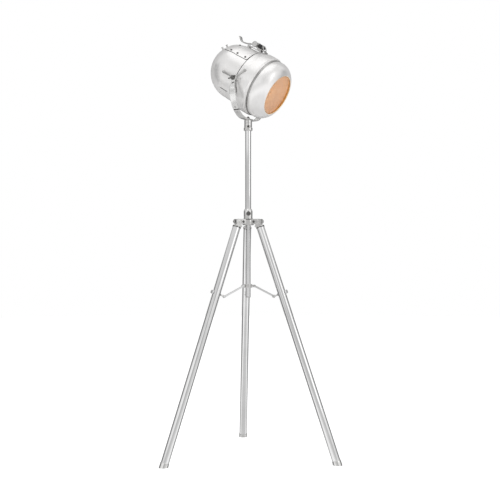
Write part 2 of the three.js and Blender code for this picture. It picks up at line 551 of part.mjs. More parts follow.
function buildHousing(head) {
  const shell = turnedX([...domeArc(DOME_RADIUS, 7), [SEAM - 4, BODY_RADIUS], [SEAM, BODY_RADIUS],
    [SEAM, BODY_RADIUS - SHELL_WALL], [SEAM - 4, BODY_RADIUS - SHELL_WALL],
    ...domeArc(DOME_RADIUS - SHELL_WALL, 7, Math.PI / 2, Math.PI)]);
  const opening = sector(shellBetween(-10, 10, HATCH.rear + 12, HATCH.front - 9), HATCH.high + 6, HATCH.low - 6);
  const screwHoles = [...HATCH_SCREWS, ...HATCH_STUDS].map(([station, degrees]) => {
    const normal = skinNormal(station, degrees);
    const middle = onSkin(station, degrees, skinRadius(station));
    return rod(1.6 + GAP, middle.clone().addScaledVector(normal, -8), middle.clone().addScaledVector(normal, 8), 8);
  });
  const centre = at(DOME_CENTRE, 0, 0);
  const glandHole = rod(6.6, centre.clone().addScaledVector(GLAND_DIRECTION, 90),
    centre.clone().addScaledVector(GLAND_DIRECTION, 120), ROUND);
  piece(head, 'rear_housing', cut(shell, opening, ...screwHoles, glandHole), NICKEL);

  const cover = sector(shellBetween(GAP, GAP + 1.3, HATCH.rear, HATCH.front), HATCH.high, HATCH.low);
  piece(head, 'hatch_cover', cut(cover, ...screwHoles.slice(0, HATCH_SCREWS.length)), NICKEL);

  HATCH_SCREWS.forEach(([station, degrees], i) => {
    const screw = turned([[0, -3], [1.6, -3], [1.6, 0], [3.4, 0], [3.4, 1], [2, 2.2], [0, 2.2]], 8);
    piece(head, `hatch_screw_${i + 1}`, facing(screw, skinNormal(station, degrees),
      onSkin(station, degrees, skinRadius(station)).addScaledVector(skinNormal(station, degrees), 2)), STEEL);
  });
  HATCH_STUDS.forEach(([station, degrees], i) => {
    const stud = turned([[0, -4], [1.6, -4], [1.6, 0], [3.2, 0], [2.2, 3], [2.2, 5], [3.8, 7], [3.4, 9.5], [0, 10]], 8);
    piece(head, `hatch_stud_${i + 1}`, facing(stud, skinNormal(station, degrees),
      onSkin(station, degrees, skinRadius(station)).addScaledVector(skinNormal(station, degrees), 0.6)), STEEL);
  });

  const gland = turned([[0, 95], [6, 95], [6, 110], [9.5, 110], [9.5, 116], [6, 119], [6, 123], [4.2, 124], [4.2, 98],
    [0, 98]]);
  const bored = cut(facing(gland, GLAND_DIRECTION, centre),
    facing(turned([[0, 85], [3.6, 85], [3.6, 130], [0, 130]]), GLAND_DIRECTION, centre));
  const shank = facing(turned([[0, 80], [6.05, 80], [6.05, 118], [0, 118]]), GLAND_DIRECTION, centre);
  const seated = cut(bored, cut(headEnvelope(GAP), shank));
  piece(head, 'cable_gland', seated, RUBBER);
}

function buildFront(head) {
  const lip = BODY_RADIUS - SHELL_WALL - GAP;
  piece(head, 'clamp_ring', turnedX(closedLoop([
    [SEAM + GAP, RING_RADIUS], [40, RING_RADIUS], [42, BEZEL_RADIUS], [78, BEZEL_RADIUS], [84, 121], [86, 118],
    [84.5, 116.6], [80, 119.5], [77, 122.6], [43.5, 122.6], [41.5, 116.8], [SEAM + 2.5, 116.8], [SEAM + 2.5, lip - 2],
    [SEAM - 10, lip - 2], [SEAM - 10, lip], [SEAM + GAP, lip]])), NICKEL);

  const [station, height] = HOOD_ARC_CENTRE;
  const hoodArc = (radius, from, to) => arc([station, height], radius, Math.acos((from - station) / radius),
    Math.acos((to - station) / radius), 5);
  const inner = HOOD_ARC_RADIUS - SHELL_WALL;
  piece(head, 'hood', turnedX(closedLoop([
    [46, 122.2], [56, 122.2], [62, 116.2], [86.3, 116.2], ...hoodArc(HOOD_ARC_RADIUS, 88, APERTURE_STATION),
    [APERTURE_STATION - 1, 82.5], [APERTURE_STATION - 3, 82.8], ...hoodArc(inner, APERTURE_STATION - 2.5, 88),
    [62, 114.2], [55, 120.2], [46, 120.2]])), NICKEL);

  const focus = 24.9;
  const rim = SEAM + 2.5 + GAP + 1.2;
  const apex = rim - 107 ** 2 / (4 * focus);
  const bowl = (offset) => Array.from({ length: 6 }, (_, i) => {
    const radius = 23.5 + (107 - 23.5) * i / 5;
    return [apex + radius ** 2 / (4 * focus) - offset, radius];
  });
  piece(head, 'reflector', turnedX(closedLoop([...bowl(0), [rim, 116.3], [rim - 1.2, 116.3], [rim - 1.2, 107.4],
    ...bowl(1.4).reverse()])), REFLECTOR);

  piece(head, 'lamp_holder', turnedX([[-160, 0], [-160, 20], [-86, 20], [-84, 19], [-84, 14.5], [-118, 14.5],
    [-118, 0]], ROUND), PORCELAIN);
  piece(head, 'bulb', turnedX([[-117, 0], [-116, 6], [-114, 13], [-88, 13], [-84, 13.6], [-74, 18], [-60, 25.5],
    ...arc([-42, 0], 30, Math.PI * 0.68, 0, 5).map(([s, r]) => [s, Math.max(r, 0)])], ROUND), BULB_GLASS);
}

function tiltPivotInHead() {
  const drop = TILT_HEIGHT - HEAD_HEIGHT;
  return at(-drop * Math.sin(HEAD_DIP), 0, drop * Math.cos(HEAD_DIP));
}

// A three-armed bracket on each side, bridging the seam between the housing and the ring.
function buildTrunnions(head) {
  const pivot = tiltPivotInHead();
  const feet = [[-52, -17], [33, 30], [36, -62]];
  const outside = TILT_HALF_SPAN - YOKE_THICKNESS / 2 - GAP;
  [['near', -1], ['far', 1]].forEach(([name, side]) => {
    const centre = at(pivot.x, side * (outside - 4), pivot.z);
    const hub = rod(11, at(pivot.x, side * 110, pivot.z), at(pivot.x, side * outside, pivot.z), ROUND);
    const arms = feet.map(([station, height]) => {
      const radius = skinRadius(station) + 2;
      const lateral = Math.sqrt(radius ** 2 - height ** 2);
      const foot = at(station, side * lateral, height);
      const outward = at(0, side * lateral, height).normalize();
      return join(
        bar(centre, foot, 9, 3.4, at(0, side, 0)),
        rod(6.5, foot.clone().addScaledVector(outward, -6), foot.clone().addScaledVector(outward, 1.5)),
        rod(3.6, foot, foot.clone().addScaledVector(outward, 4), 10),
      );
    });
    const bore = rod(4 + GAP, at(pivot.x, side * 100, pivot.z), at(pivot.x, side * 140, pivot.z));
    piece(head, `trunnion_bracket_${name}`, cut(join(hub, ...arms), headEnvelope(GAP), bore), STEEL);
  });
}

// ---- latch on top of the head: lifting the tab slackens the link, and its eye comes off the stud ----

const LATCH_FULCRUM = [-10, 136];
const LATCH_DRUM = [-36, 134];
const LATCH_STUD_STATION = 16;
const LATCH_LINK_DROP = THREE.MathUtils.degToRad(10.4);

function buildLatch(head) {
  const [fulcrumS, fulcrumV] = LATCH_FULCRUM;
  const [drumS, drumV] = LATCH_DRUM;
  const crossRod = ([s, v], radius, from, to, sides) => rod(radius, at(s, from, v), at(s, to, v), sides);
  const bothSides = (from, to, make) => [make(from, to), make(-to, -from)];

  const plate = block(at(-66, -11, 115.5), at(3, 11, 118.5));
  const feet = [[-66, -56], [-7, 3]].map(([rear, front]) => block(at(rear, -11, 105), at(front, 11, 117)));
  const cheekOutline = [[fulcrumS - 9, 117], [fulcrumS + 9, 117],
    ...arc(LATCH_FULCRUM, 6, -0.2, Math.PI + 0.2, 8)];
  const cheeks = bothSides(7.5, 10.2, (from, to) =>
    extruded(cheekOutline, to - from, DRAWN_IN_XZ).translate(0, (from + to) / 2, 0));
  piece(head, 'latch_base', cut(join(plate, ...feet, ...cheeks), headEnvelope(GAP),
    crossRod(LATCH_FULCRUM, 3 + GAP, -20, 20)), STEEL);

  const fulcrum = join(
    crossRod(LATCH_FULCRUM, 3, -14.5, 14.5),
    ...bothSides(14, 21, (from, to) => crossRod(LATCH_FULCRUM, 7.6, from, to)),
  );
  piece(head, 'latch_roller', fulcrum, RUBBER);

  const tab = [[fulcrumS, fulcrumV], [drumS, drumV], [-60, 127.5], [-75, 121.5], [-96, 117.8], [-104, 119],
    [-111, 124], [-116, 130.5], [-121, 131.5]];
  const lever = join(
    extruded(strip(tab, 3.6), 14, DRAWN_IN_XZ),
    crossRod(LATCH_FULCRUM, 5.6, -7, 7),
    crossRod(LATCH_DRUM, 5.6, -7, 7),
  );
  piece(head, 'latch_lever', cut(lever, crossRod(LATCH_FULCRUM, 3 + GAP, -20, 20),
    crossRod(LATCH_DRUM, 3 + GAP, -20, 20)), NICKEL);

  const drumHeads = bothSides(13.9, 18, (from, to) => {
    const head = knurledHead(12, to - from, 16, 0.7);
    return facing(head, AXIS_Y, at(drumS, from, drumV));
  });
  piece(head, 'latch_drum', join(crossRod(LATCH_DRUM, 3, -14.5, 14.5), ...drumHeads), NICKEL);

  const reach = (LATCH_STUD_STATION - drumS) / Math.cos(LATCH_LINK_DROP);
  const arch = [[0, 0], [8, 9], [16, 12.9], [34, 12.9], [42, 8], [reach - 5, 0]];   // clears the fulcrum as it lifts
  const arms = bothSides(10.8, 13.5, (from, to) => join(
    extruded(strip(arch, 4.6), to - from, DRAWN_IN_XZ).translate(0, (from + to) / 2, 0),
    rod(6, at(0, from, 0), at(0, to, 0)),
  ));
  const bridge = block(at(reach - 14, -13.5, -1.3), at(reach + 8, 13.5, 1.3));
  const link = cut(join(bridge, ...arms), rod(3 + GAP, at(0, -20, 0), at(0, 20, 0)),
    rod(4.8, at(reach, 0, -5), at(reach, 0, 5)));
  piece(head, 'latch_link', link.rotateY(LATCH_LINK_DROP).translate(drumS, 0, drumV), NICKEL);

  const pad = block(at(SEAM + 1, -9, 112), at(27, 9, 121.4));
  const stud = rod(3, at(LATCH_STUD_STATION, 0, 121), at(LATCH_STUD_STATION, 0, 128.5));
  piece(head, 'latch_catch', cut(join(pad, stud), headEnvelope(GAP)), STEEL);
}

// ---- the whole lamp ----

const lamp = new THREE.Group();
buildHub(lamp);
[90, 210, 330].forEach((degrees, i) => buildLeg(lamp, i + 1, degrees));
buildSpreader(lamp);
buildColumn(lamp);

const yoke = new THREE.Group();         // +X is the way the head points, seen from above
yoke.rotation.z = -YOKE_PAN;
lamp.add(yoke);
buildYoke(yoke);

const head = new THREE.Group();         // +X runs out of the aperture along the head's axis
head.position.z = HEAD_HEIGHT;
head.rotation.y = HEAD_DIP;
yoke.add(head);
buildHousing(head);
buildFront(head);
buildTrunnions(head);
buildLatch(head);

const standing = new THREE.Group();
standing.add(lamp);
const extent = new THREE.Box3().setFromObject(standing, true);
lamp.position.set(-(extent.min.x + extent.max.x) / 2, -(extent.min.y + extent.max.y) / 2, -extent.min.z);

export default standing;
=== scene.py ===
"""Tripod floor lamp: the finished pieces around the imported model, its finishes, light and camera.

Every shape is drawn in millimetres in the frame of the part that carries it, and that part's matrix
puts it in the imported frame. The main sizes are those of the CAD solids, and finer detail is added here.
"""

import json
import math

import bmesh
import bpy
from mathutils import Matrix, Vector


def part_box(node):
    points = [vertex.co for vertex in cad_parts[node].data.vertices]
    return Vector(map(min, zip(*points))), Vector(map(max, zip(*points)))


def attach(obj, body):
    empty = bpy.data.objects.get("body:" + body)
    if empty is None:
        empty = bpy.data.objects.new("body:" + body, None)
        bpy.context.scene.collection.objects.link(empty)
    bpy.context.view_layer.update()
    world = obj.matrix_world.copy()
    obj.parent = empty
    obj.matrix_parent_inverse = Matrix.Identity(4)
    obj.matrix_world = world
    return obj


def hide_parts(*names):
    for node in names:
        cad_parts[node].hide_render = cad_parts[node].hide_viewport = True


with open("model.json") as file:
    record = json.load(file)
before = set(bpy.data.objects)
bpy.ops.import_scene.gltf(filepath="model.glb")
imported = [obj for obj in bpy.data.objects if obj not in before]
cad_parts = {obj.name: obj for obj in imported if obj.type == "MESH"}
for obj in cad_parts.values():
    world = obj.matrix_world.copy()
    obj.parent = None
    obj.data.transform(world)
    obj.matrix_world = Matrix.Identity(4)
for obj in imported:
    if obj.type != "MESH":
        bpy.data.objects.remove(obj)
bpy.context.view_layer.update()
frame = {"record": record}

RECORD = frame["record"]
BODY_OF = {node: body for body, nodes in RECORD["behaviour"]["bodies"].items() for node in nodes}
SLOT_OF = {part["node"]: part["material_slot"] for part in RECORD["subparts"]}

# ---- frames ----

MM = 0.001
LEG_TILT = math.radians(19.74)
HINGE_OUT, HINGE_HEIGHT = 47.1, 943
LEG_HINGE = (HINGE_OUT, 0, HINGE_HEIGHT)
EYE_DROP, EYE_REACH = 304, 38  # the strut's eye, down the leg and inwards from the hinge
SPREADER_PIN = (26, 684)
CLAMP_HEIGHT = 976
STEM_SCREW_HEIGHT = 1329
YOKE_PAN = math.radians(29.8)
HEAD_HEIGHT = 1524
HEAD_DIP = math.radians(30.9)
LEG_ANGLES = {1: 90, 2: 210, 3: 330}

column_low, column_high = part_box("column_tube")
AXIS_AT_Y = (column_low[1] + column_high[1]) / 2
COLUMN = Matrix.Translation((0, AXIS_AT_Y, 0)) @ Matrix.Scale(MM, 4)
YOKE = COLUMN @ Matrix.Rotation(-YOKE_PAN, 4, "Z")
HEAD = YOKE @ Matrix.Translation((0, 0, HEAD_HEIGHT)) @ Matrix.Rotation(HEAD_DIP, 4, "Y")
HEAD_TURN = HEAD @ Matrix.Rotation(math.pi / 2, 4, "Y")  # a lathe's Z becomes the head's axis
XZ = Matrix(((1, 0, 0, 0), (0, 0, -1, 0), (0, 1, 0, 0), (0, 0, 0, 1)))
SHARP = math.radians(34)  # an edge that turns by more than this is shaded as sharp


def radial(number):
    return COLUMN @ Matrix.Rotation(math.radians(LEG_ANGLES[number]), 4, "Z")


def leg_frame(number):
    return radial(number) @ Matrix.Translation(LEG_HINGE) @ Matrix.Rotation(-LEG_TILT, 4, "Y")


def towards(direction, origin=(0, 0, 0)):
    """A frame whose Z runs along a direction."""
    turn = Vector(direction).normalized().to_track_quat("Z", "Y").to_matrix().to_4x4()
    return Matrix.Translation(origin) @ turn


# ---- mesh helpers ----

def placed(name, data):
    """A new object for a mesh, a light or a camera, linked into the scene."""
    obj = bpy.data.objects.new(name, data)
    bpy.context.scene.collection.objects.link(obj)
    return obj


def mesh_of(verts, faces, matrix):
    mesh = bpy.data.meshes.new("shape")
    mesh.from_pydata([tuple(v) for v in verts], [], faces)
    bm = bmesh.new()
    bm.from_mesh(mesh)
    return finished(bm, matrix, mesh)


def finished(bm, matrix, mesh=None):
    bmesh.ops.remove_doubles(bm, verts=bm.verts, dist=1e-4)
    bmesh.ops.recalc_face_normals(bm, faces=bm.faces)
    if bm.calc_volume(signed=True) < 0:
        bmesh.ops.reverse_faces(bm, faces=bm.faces)
    bm.transform(matrix)
    mesh = mesh or bpy.data.meshes.new("shape")
    bm.to_mesh(mesh)
    bm.free()
    return mesh


def rounded(points, radius, closed=False, steps=4):
    """The outline with each corner replaced by a fillet of up to this radius."""
    points = [Vector(p) for p in points]
    result = []
    for i, corner in enumerate(points):
        if not closed and i in (0, len(points) - 1):
            result.append(corner)
            continue
        before = points[i - 1] - corner
        after = points[(i + 1) % len(points)] - corner
        opening = before.angle(after, math.pi)
        if math.pi - opening < 0.25 or opening < 0.05:
            result.append(corner)
            continue
        run = min(radius / math.tan(opening / 2), before.length * 0.45, after.length * 0.45)
        start = corner + before.normalized() * run
        end = corner + after.normalized() * run
        for k in range(steps + 1):
            t = k / steps
            result.append(start * (1 - t) ** 2 + corner * 2 * t * (1 - t) + end * t ** 2)
    return result


def arc(centre, radius, start, end, steps):
    """Points of an arc between two angles in degrees."""
    angles = [math.radians(start + (end - start) * i / steps) for i in range(steps + 1)]
    return [(centre[0] + radius * math.cos(a), centre[1] + radius * math.sin(a)) for a in angles]


def lathe(profile, matrix, segments=96, closed=False, fillet=0.0):
    """A solid turned about Z from (radius, height) points."""
    if fillet:
        profile = rounded(profile, fillet, closed)
    verts, rings = [], []
    for radius, height in profile:
        count = 1 if radius < 1e-5 else segments
        rings.append(range(len(verts), len(verts) + count))
        for i in range(count):
            angle = 2 * math.pi * i / segments
            verts.append((radius * math.cos(angle), radius * math.sin(angle), height))
    faces = []
    pairs = list(zip(rings, rings[1:])) + ([(rings[-1], rings[0])] if closed else [])
    for lower, upper in pairs:
        for i in range(segments):
            j = (i + 1) % segments
            a, b = lower[i % len(lower)], lower[j % len(lower)]
            c, d = upper[j % len(upper)], upper[i % len(upper)]
            loop = list(dict.fromkeys([a, b, c, d]))
            if len(loop) > 2:
                faces.append(loop)
    return mesh_of(verts, faces, matrix)


def hollow(inner, outer, low, high, matrix, fillet, segments=96):
    """A tube or ring about Z, which also serves to cut a groove."""
    profile = [(inner, low), (outer, low), (outer, high), (inner, high)]
    return lathe(profile, matrix, segments, closed=True, fillet=fillet)


def prism(outline, low, high, matrix, bevel=0.0):
    """An outline in XY carried from z = low to z = high, with its cap edges rounded."""
    bm = bmesh.new()
    lower = [bm.verts.new((x, y, low)) for x, y in outline]
    upper = [bm.verts.new((x, y, high)) for x, y in outline]
    count = len(outline)
    caps = [bm.faces.new(lower[::-1]), bm.faces.new(upper)]
    for i in range(count):
        j = (i + 1) % count
        bm.faces.new((lower[i], lower[j], upper[j], upper[i]))
    if bevel:
        edges = list({edge for cap in caps for edge in cap.edges})
        bmesh.ops.bevel(bm, geom=edges, offset=bevel, segments=3, profile=0.5, affect="EDGES",
                        clamp_overlap=True)
    return finished(bm, matrix)


def prism_xz(outline, low, high, matrix, bevel=0.0):
    return prism(outline, -high, -low, matrix @ XZ, bevel)


def slab(low, high, matrix, corner=0.6, bevel=0.5):
    (x0, y0, z0), (x1, y1, z1) = low, high
    outline = rounded([(x0, y0), (x1, y0), (x1, y1), (x0, y1)], corner, closed=True)
    return prism(outline, z0, z1, matrix, bevel)


def rod(start, end, radius, matrix, fillet=0.5):
    start, end = Vector(start), Vector(end)
    length = (end - start).length
    profile = [(0, 0), (radius, 0), (radius, length), (0, length)]
    return lathe(profile, matrix @ towards(end - start, start), 64, fillet=fillet)


def loft(rings, matrix):
    """A closed skin over rings of points, capped at both ends."""
    verts = [v for ring in rings for v in ring]
    count = len(rings[0])
    faces = []
    for k in range(len(rings) - 1):
        for i in range(count):
            j = (i + 1) % count
            faces.append((k * count + i, k * count + j, (k + 1) * count + j, (k + 1) * count + i))
    last = (len(rings) - 1) * count
    faces.append(list(range(count))[::-1])
    faces.append(list(range(last, last + count)))
    return mesh_of(verts, faces, matrix)


def rounded_rectangle(half_width, half_height, corner):
    points = [(-half_width, -half_height), (half_width, -half_height), (half_width, half_height),
              (-half_width, half_height)]
    return rounded(points, corner, closed=True, steps=3)


def strap(path, half_widths, thickness, matrix, corner=0.9):
    """A flat strap along (y, z) points, its width lying along X."""
    rings = []
    for i, (y, z) in enumerate(path):
        y0, z0 = path[max(i - 1, 0)]
        y1, z1 = path[min(i + 1, len(path) - 1)]
        tangent = Vector((0, y1 - y0, z1 - z0)).normalized()
        normal = Vector((0, -tangent.z, tangent.y))
        section = rounded_rectangle(half_widths[i], thickness / 2, min(corner, half_widths[i] * 0.8))
        rings.append([Vector((a, y, z)) + normal * b for a, b in section])
    return loft(rings, matrix)


def taper(stations, matrix):
    """A bar along stations of (point, across, half width, facing, half thickness)."""
    sides = 28
    rings = []
    for point, across, half_width, facing, half_thickness in stations:
        ring = []
        for i in range(sides):
            angle = 2 * math.pi * i / sides
            x, y = math.cos(angle), math.sin(angle)
            x = math.copysign(abs(x) ** 0.7, x)
            y = math.copysign(abs(y) ** 0.7, y)
            sideways = Vector(across) * half_width * x
            ring.append(Vector(point) + sideways + Vector(facing) * half_thickness * y)
        rings.append(ring)
    return loft(rings, matrix)


def combined(operation, base, *tools):
    """The base mesh joined with, or cut by, the other meshes."""
    body = placed("base", base)
    helpers = []
    for tool in tools:
        helper = placed("tool", tool)
        step = body.modifiers.new("step", "BOOLEAN")
        step.operation = operation
        step.solver = "MANIFOLD"
        step.object = helper
        helpers.append(helper)
    depsgraph = bpy.context.evaluated_depsgraph_get()
    result = bpy.data.meshes.new_from_object(body.evaluated_get(depsgraph))
    for thing in [body, *helpers]:
        bpy.data.objects.remove(thing)
    return result


def union(base, *others):
    return combined("UNION", base, *others)


def minus(base, *tools):
    return combined("DIFFERENCE", base, *tools)


def lobed(radius, lobes, depth, per_lobe=10):
    """The outline of a knob with soft lobes round its rim."""
    count = lobes * per_lobe
    outline = []
    for i in range(count):
        angle = 2 * math.pi * i / count
        reach = radius - depth * (0.5 - 0.5 * math.cos(lobes * angle)) ** 1.6
        outline.append((reach * math.cos(angle), reach * math.sin(angle)))
    return outline


# ---- finishes ----

def new_material(name):
    material = bpy.data.materials.new(name)
    material.use_nodes = True
    tree = material.node_tree
    return material, tree, tree.nodes["Principled BSDF"]


def noise(tree, scale, detail, stretch=(1, 1, 1), rough=0.5):
    coordinates = tree.nodes.new("ShaderNodeTexCoord")
    mapping = tree.nodes.new("ShaderNodeMapping")
    mapping.inputs["Scale"].default_value = stretch
    texture = tree.nodes.new("ShaderNodeTexNoise")
    texture.inputs["Scale"].default_value = scale
    texture.inputs["Detail"].default_value = detail
    texture.inputs["Roughness"].default_value = rough
    tree.links.new(coordinates.outputs["Object"], mapping.inputs["Vector"])
    tree.links.new(mapping.outputs["Vector"], texture.inputs["Vector"])
    return texture.outputs["Fac"]


def ranged(tree, source, low, high, start=0.35, end=0.65):
    span = tree.nodes.new("ShaderNodeMapRange")
    span.inputs["From Min"].default_value = start
    span.inputs["From Max"].default_value = end
    span.inputs["To Min"].default_value = low
    span.inputs["To Max"].default_value = high
    tree.links.new(source, span.inputs["Value"])
    return span.outputs["Result"]


def mottle(tree, target, source, first, second, start=0.35, end=0.65):
    """Feeds a colour socket with a mix of two colours, driven by a noise."""
    mix = tree.nodes.new("ShaderNodeMix")
    mix.data_type = "RGBA"
    mix.inputs["A"].default_value = (*first, 1)
    mix.inputs["B"].default_value = (*second, 1)
    tree.links.new(ranged(tree, source, 0, 1, start, end), mix.inputs["Factor"])
    tree.links.new(mix.outputs["Result"], target)


def bumped(tree, shader, height, strength, distance):
    bump = tree.nodes.new("ShaderNodeBump")
    bump.inputs["Strength"].default_value = strength
    bump.inputs["Distance"].default_value = distance
    tree.links.new(height, bump.inputs["Height"])
    tree.links.new(bump.outputs["Normal"], shader.inputs["Normal"])


def plated(name, colour, tarnish, rough, waviness, grain=(1, 1, 1), metallic=1.0):
    """Plated metal: faint clouding, polishing marks in the gloss, and a slightly uneven skin."""
    material, tree, shader = new_material(name)
    shader.inputs["Metallic"].default_value = metallic
    mottle(tree, shader.inputs["Base Color"], noise(tree, 14, 4, rough=0.6), colour, tarnish)
    marks = noise(tree, 160, 5, stretch=grain, rough=0.65)
    tree.links.new(ranged(tree, marks, *rough), shader.inputs["Roughness"])
    bumped(tree, shader, noise(tree, 22, 2), waviness, 0.0006)
    return material


def dielectric(name, colour, second, rough, grain_scale, bump_strength, coat=0.0):
    material, tree, shader = new_material(name)
    mottle(tree, shader.inputs["Base Color"], noise(tree, 40, 4), colour, second)
    grain = noise(tree, grain_scale, 3)
    tree.links.new(ranged(tree, grain, *rough), shader.inputs["Roughness"])
    bumped(tree, shader, grain, bump_strength, 0.0003)
    if coat:
        shader.inputs["Coat Weight"].default_value = coat
        shader.inputs["Coat Roughness"].default_value = 0.08
    return material


def glowing_glass(name):
    """Frosted glass with the warm light of a filament behind it."""
    material, tree, shader = new_material(name)
    mottling = noise(tree, 60, 3)
    mottle(tree, shader.inputs["Base Color"], mottling, (1.0, 0.86, 0.68), (1.0, 0.80, 0.58))
    tree.links.new(ranged(tree, mottling, 0.18, 0.3), shader.inputs["Roughness"])
    shader.inputs["Emission Color"].default_value = (1.0, 0.77, 0.56, 1)
    shader.inputs["Emission Strength"].default_value = 0.6
    return material


def lining_with_painted_glow(name):
    """The satin inside of the hood, with a painted warm glow: an emission on the lining that stands in
    for the bulb's light over it.
    """
    material = plated(name, (0.92, 0.79, 0.68), (0.89, 0.75, 0.63), (0.5, 0.6), 0.01, metallic=0.5)
    tree = material.node_tree
    shader = tree.nodes["Principled BSDF"]
    # painted glow: a warm emission colour, mottled between two tones, standing in for the bulb's light on
    # the lining
    mottle(tree, shader.inputs["Emission Color"], noise(tree, 9, 1), (0.85, 0.53, 0.30),
           (0.60, 0.42, 0.31), 0.42, 0.58)
    shader.inputs["Emission Strength"].default_value = 0.17
    return material


# colour, tarnish, roughness, waviness, stretch of the polishing marks, metallic
METALS = {
    "tube_chrome": ((0.84, 0.84, 0.84), (0.78, 0.78, 0.78), (0.05, 0.11), 0.02, (1, 1, 0.05)),
    "cast_nickel": ((0.80, 0.795, 0.785), (0.66, 0.655, 0.645), (0.07, 0.14), 0.35),
    "dark_nickel": ((0.19, 0.185, 0.18), (0.12, 0.118, 0.115), (0.2, 0.34), 0.12),
    "fastener_steel": ((0.50, 0.495, 0.485), (0.36, 0.355, 0.35), (0.2, 0.3), 0.1),
    "shell_nickel": ((0.90, 0.89, 0.885), (0.87, 0.86, 0.85), (0.29, 0.33), 0.01, (1, 1, 1), 0.6),
    "reflector_metal": ((0.91, 0.73, 0.54), (0.88, 0.68, 0.48), (0.3, 0.4), 0.02),
    # golden lip colour: painted reflection, standing in for warm light reflected on the rim's inside
    "golden_lip_painted_reflection": ((0.86, 0.58, 0.24), (0.72, 0.46, 0.17), (0.29, 0.34), 0.02),
    "yoke_finish": ((0.87, 0.865, 0.855), (0.80, 0.795, 0.785), (0.14, 0.22), 0.05, (1, 1, 1), 0.85),
    "polished_parts": ((0.60, 0.595, 0.585), (0.44, 0.435, 0.43), (0.1, 0.18), 0.3),
}
MATERIALS = {name: plated(name, *look) for name, look in METALS.items()}
MATERIALS["black_rubber"] = dielectric(
    "black_rubber", (0.012, 0.012, 0.012), (0.03, 0.029, 0.028), (0.5, 0.7), 500, 0.3)
MATERIALS["porcelain"] = dielectric(
    "porcelain", (0.86, 0.84, 0.79), (0.80, 0.78, 0.72), (0.12, 0.22), 300, 0.05, 0.5)
MATERIALS["bulb_glass"] = glowing_glass("bulb_glass")
# the hood lining carries a painted glow, an emission standing in for the bulb's light
PAINTED_GLOW_LINING = lining_with_painted_glow("hood_lining_painted_glow")


def piece(name, mesh, node=None, body=None, slot=None, finish=None):
    """A finished piece. It takes the body and slot of the CAD node it stands for, or those given."""
    body = body or BODY_OF[node]
    slot = slot or SLOT_OF[node]
    obj = placed(name, mesh)
    mesh.materials.clear()
    mesh.materials.append(MATERIALS[finish or slot])
    for polygon in mesh.polygons:
        polygon.use_smooth = True
        polygon.material_index = 0
    mesh.set_sharp_from_angle(angle=SHARP)
    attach(obj, body)
    if node:
        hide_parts(node)
    return obj


def fine(node, mesh, finish=None):
    return piece(f"{node}_fine", mesh, node, finish=finish)


def small_screw(matrix, radius=3.4, height=2.2, slot_width=0.9):
    """A domed screw head with a slot, standing on z = 0."""
    shank, reach = radius * 0.55, radius + 1
    head = lathe([(0, -1.5), (shank, -1.5), (shank, 0), (radius, 0), (radius, height * 0.4),
                  (radius * 0.72, height * 0.85), (0, height)], matrix, 40, fillet=0.5)
    floor, side = height * 0.45, slot_width / 2
    groove = slab((-reach, -side, floor), (reach, side, height + 1), matrix, 0.01, 0)
    return minus(head, groove)


# ---- hub of the tripod ----

def build_hub():
    boss = lathe([(0, 930), (21.5, 930), (23, 932), (23, 953), (21, 955), (18, 955.5), (18, 984),
                  (17.2, 988.5), (13.6, 996), (0, 996)], COLUMN, fillet=1.2)
    grooves = [hollow(17.1, 19, z - 1, z + 1, COLUMN, 0.4) for z in (961, 966)]
    additions = []
    cuts = [rod((0, 0, 920), (0, 0, 1006), 12.3, COLUMN)]
    for number in LEG_ANGLES:
        matrix = radial(number)
        ear = rounded([(12, 934), *arc((54, 944), 10, -90, 90, 20), (12, 954)], 0.8)
        hinge_boss = arc((HINGE_OUT, HINGE_HEIGHT), 8.4, 0, 345, 23)
        for side in (1, -1):
            additions.append(prism_xz(ear, *sorted((side * 7.4, side * 13.4)), matrix, 0.9))
            additions.append(prism_xz(hinge_boss, *sorted((side * 13.0, side * 14.2)), matrix, 0.4))
        additions.append(slab((59, -8, 938), (63.1, 8, 950), matrix, 1.2, 0.8))
        cuts.append(rod((HINGE_OUT, -20, HINGE_HEIGHT), (HINGE_OUT, 20, HINGE_HEIGHT), 4.3, matrix, 0))
    cuts.append(slab((-1, -20, 957), (1, 0, 998), COLUMN, 0.01, 0))
    cuts.append(rod((0, -20, CLAMP_HEIGHT), (0, 0, CLAMP_HEIGHT), 3.3, COLUMN, 0))
    fine("hub_casting", minus(union(boss, *additions), *grooves, *cuts))

    for number in LEG_ANGLES:
        for name, side in (("left", 1), ("right", -1)):
            outwards = radial(number) @ towards((0, side, 0), (31, side * 13.3, HINGE_HEIGHT))
            screw = small_screw(outwards, 5.2, 2.4, 1.2)
            piece(f"hub_screw_{number}_{name}", screw, body="stand", slot="dark_nickel")
    seam = lathe([(22.4, 951.2), (23.6, 951.2), (24.2, 952.4), (24.2, 953.8), (23.4, 955.2),
                  (20.4, 955.2)], COLUMN, closed=True, fillet=0.3)
    piece("hub_seam_ring", seam, body="stand", slot="dark_nickel")
    build_clamp_screw()


def build_clamp_screw():
    outwards = COLUMN @ towards((0, -1, 0), (0, -18.3, CLAMP_HEIGHT))
    head = prism(lobed(9, 16, 0.8), 1.2, 9, outwards, 0.8)
    collar = lathe([(0, 0), (6.6, 0), (6.6, 1.8), (0, 1.8)], outwards, 48, fillet=0.3)
    shank = rod((0, -18.5, CLAMP_HEIGHT), (0, -12.8, CLAMP_HEIGHT), 3, COLUMN, 0.3)
    dish = lathe([(0, 7.9), (5.6, 8.5), (5.6, 12), (0, 12)], outwards, 48)
    fine("column_clamp_screw", minus(union(head, collar, shank), dish))


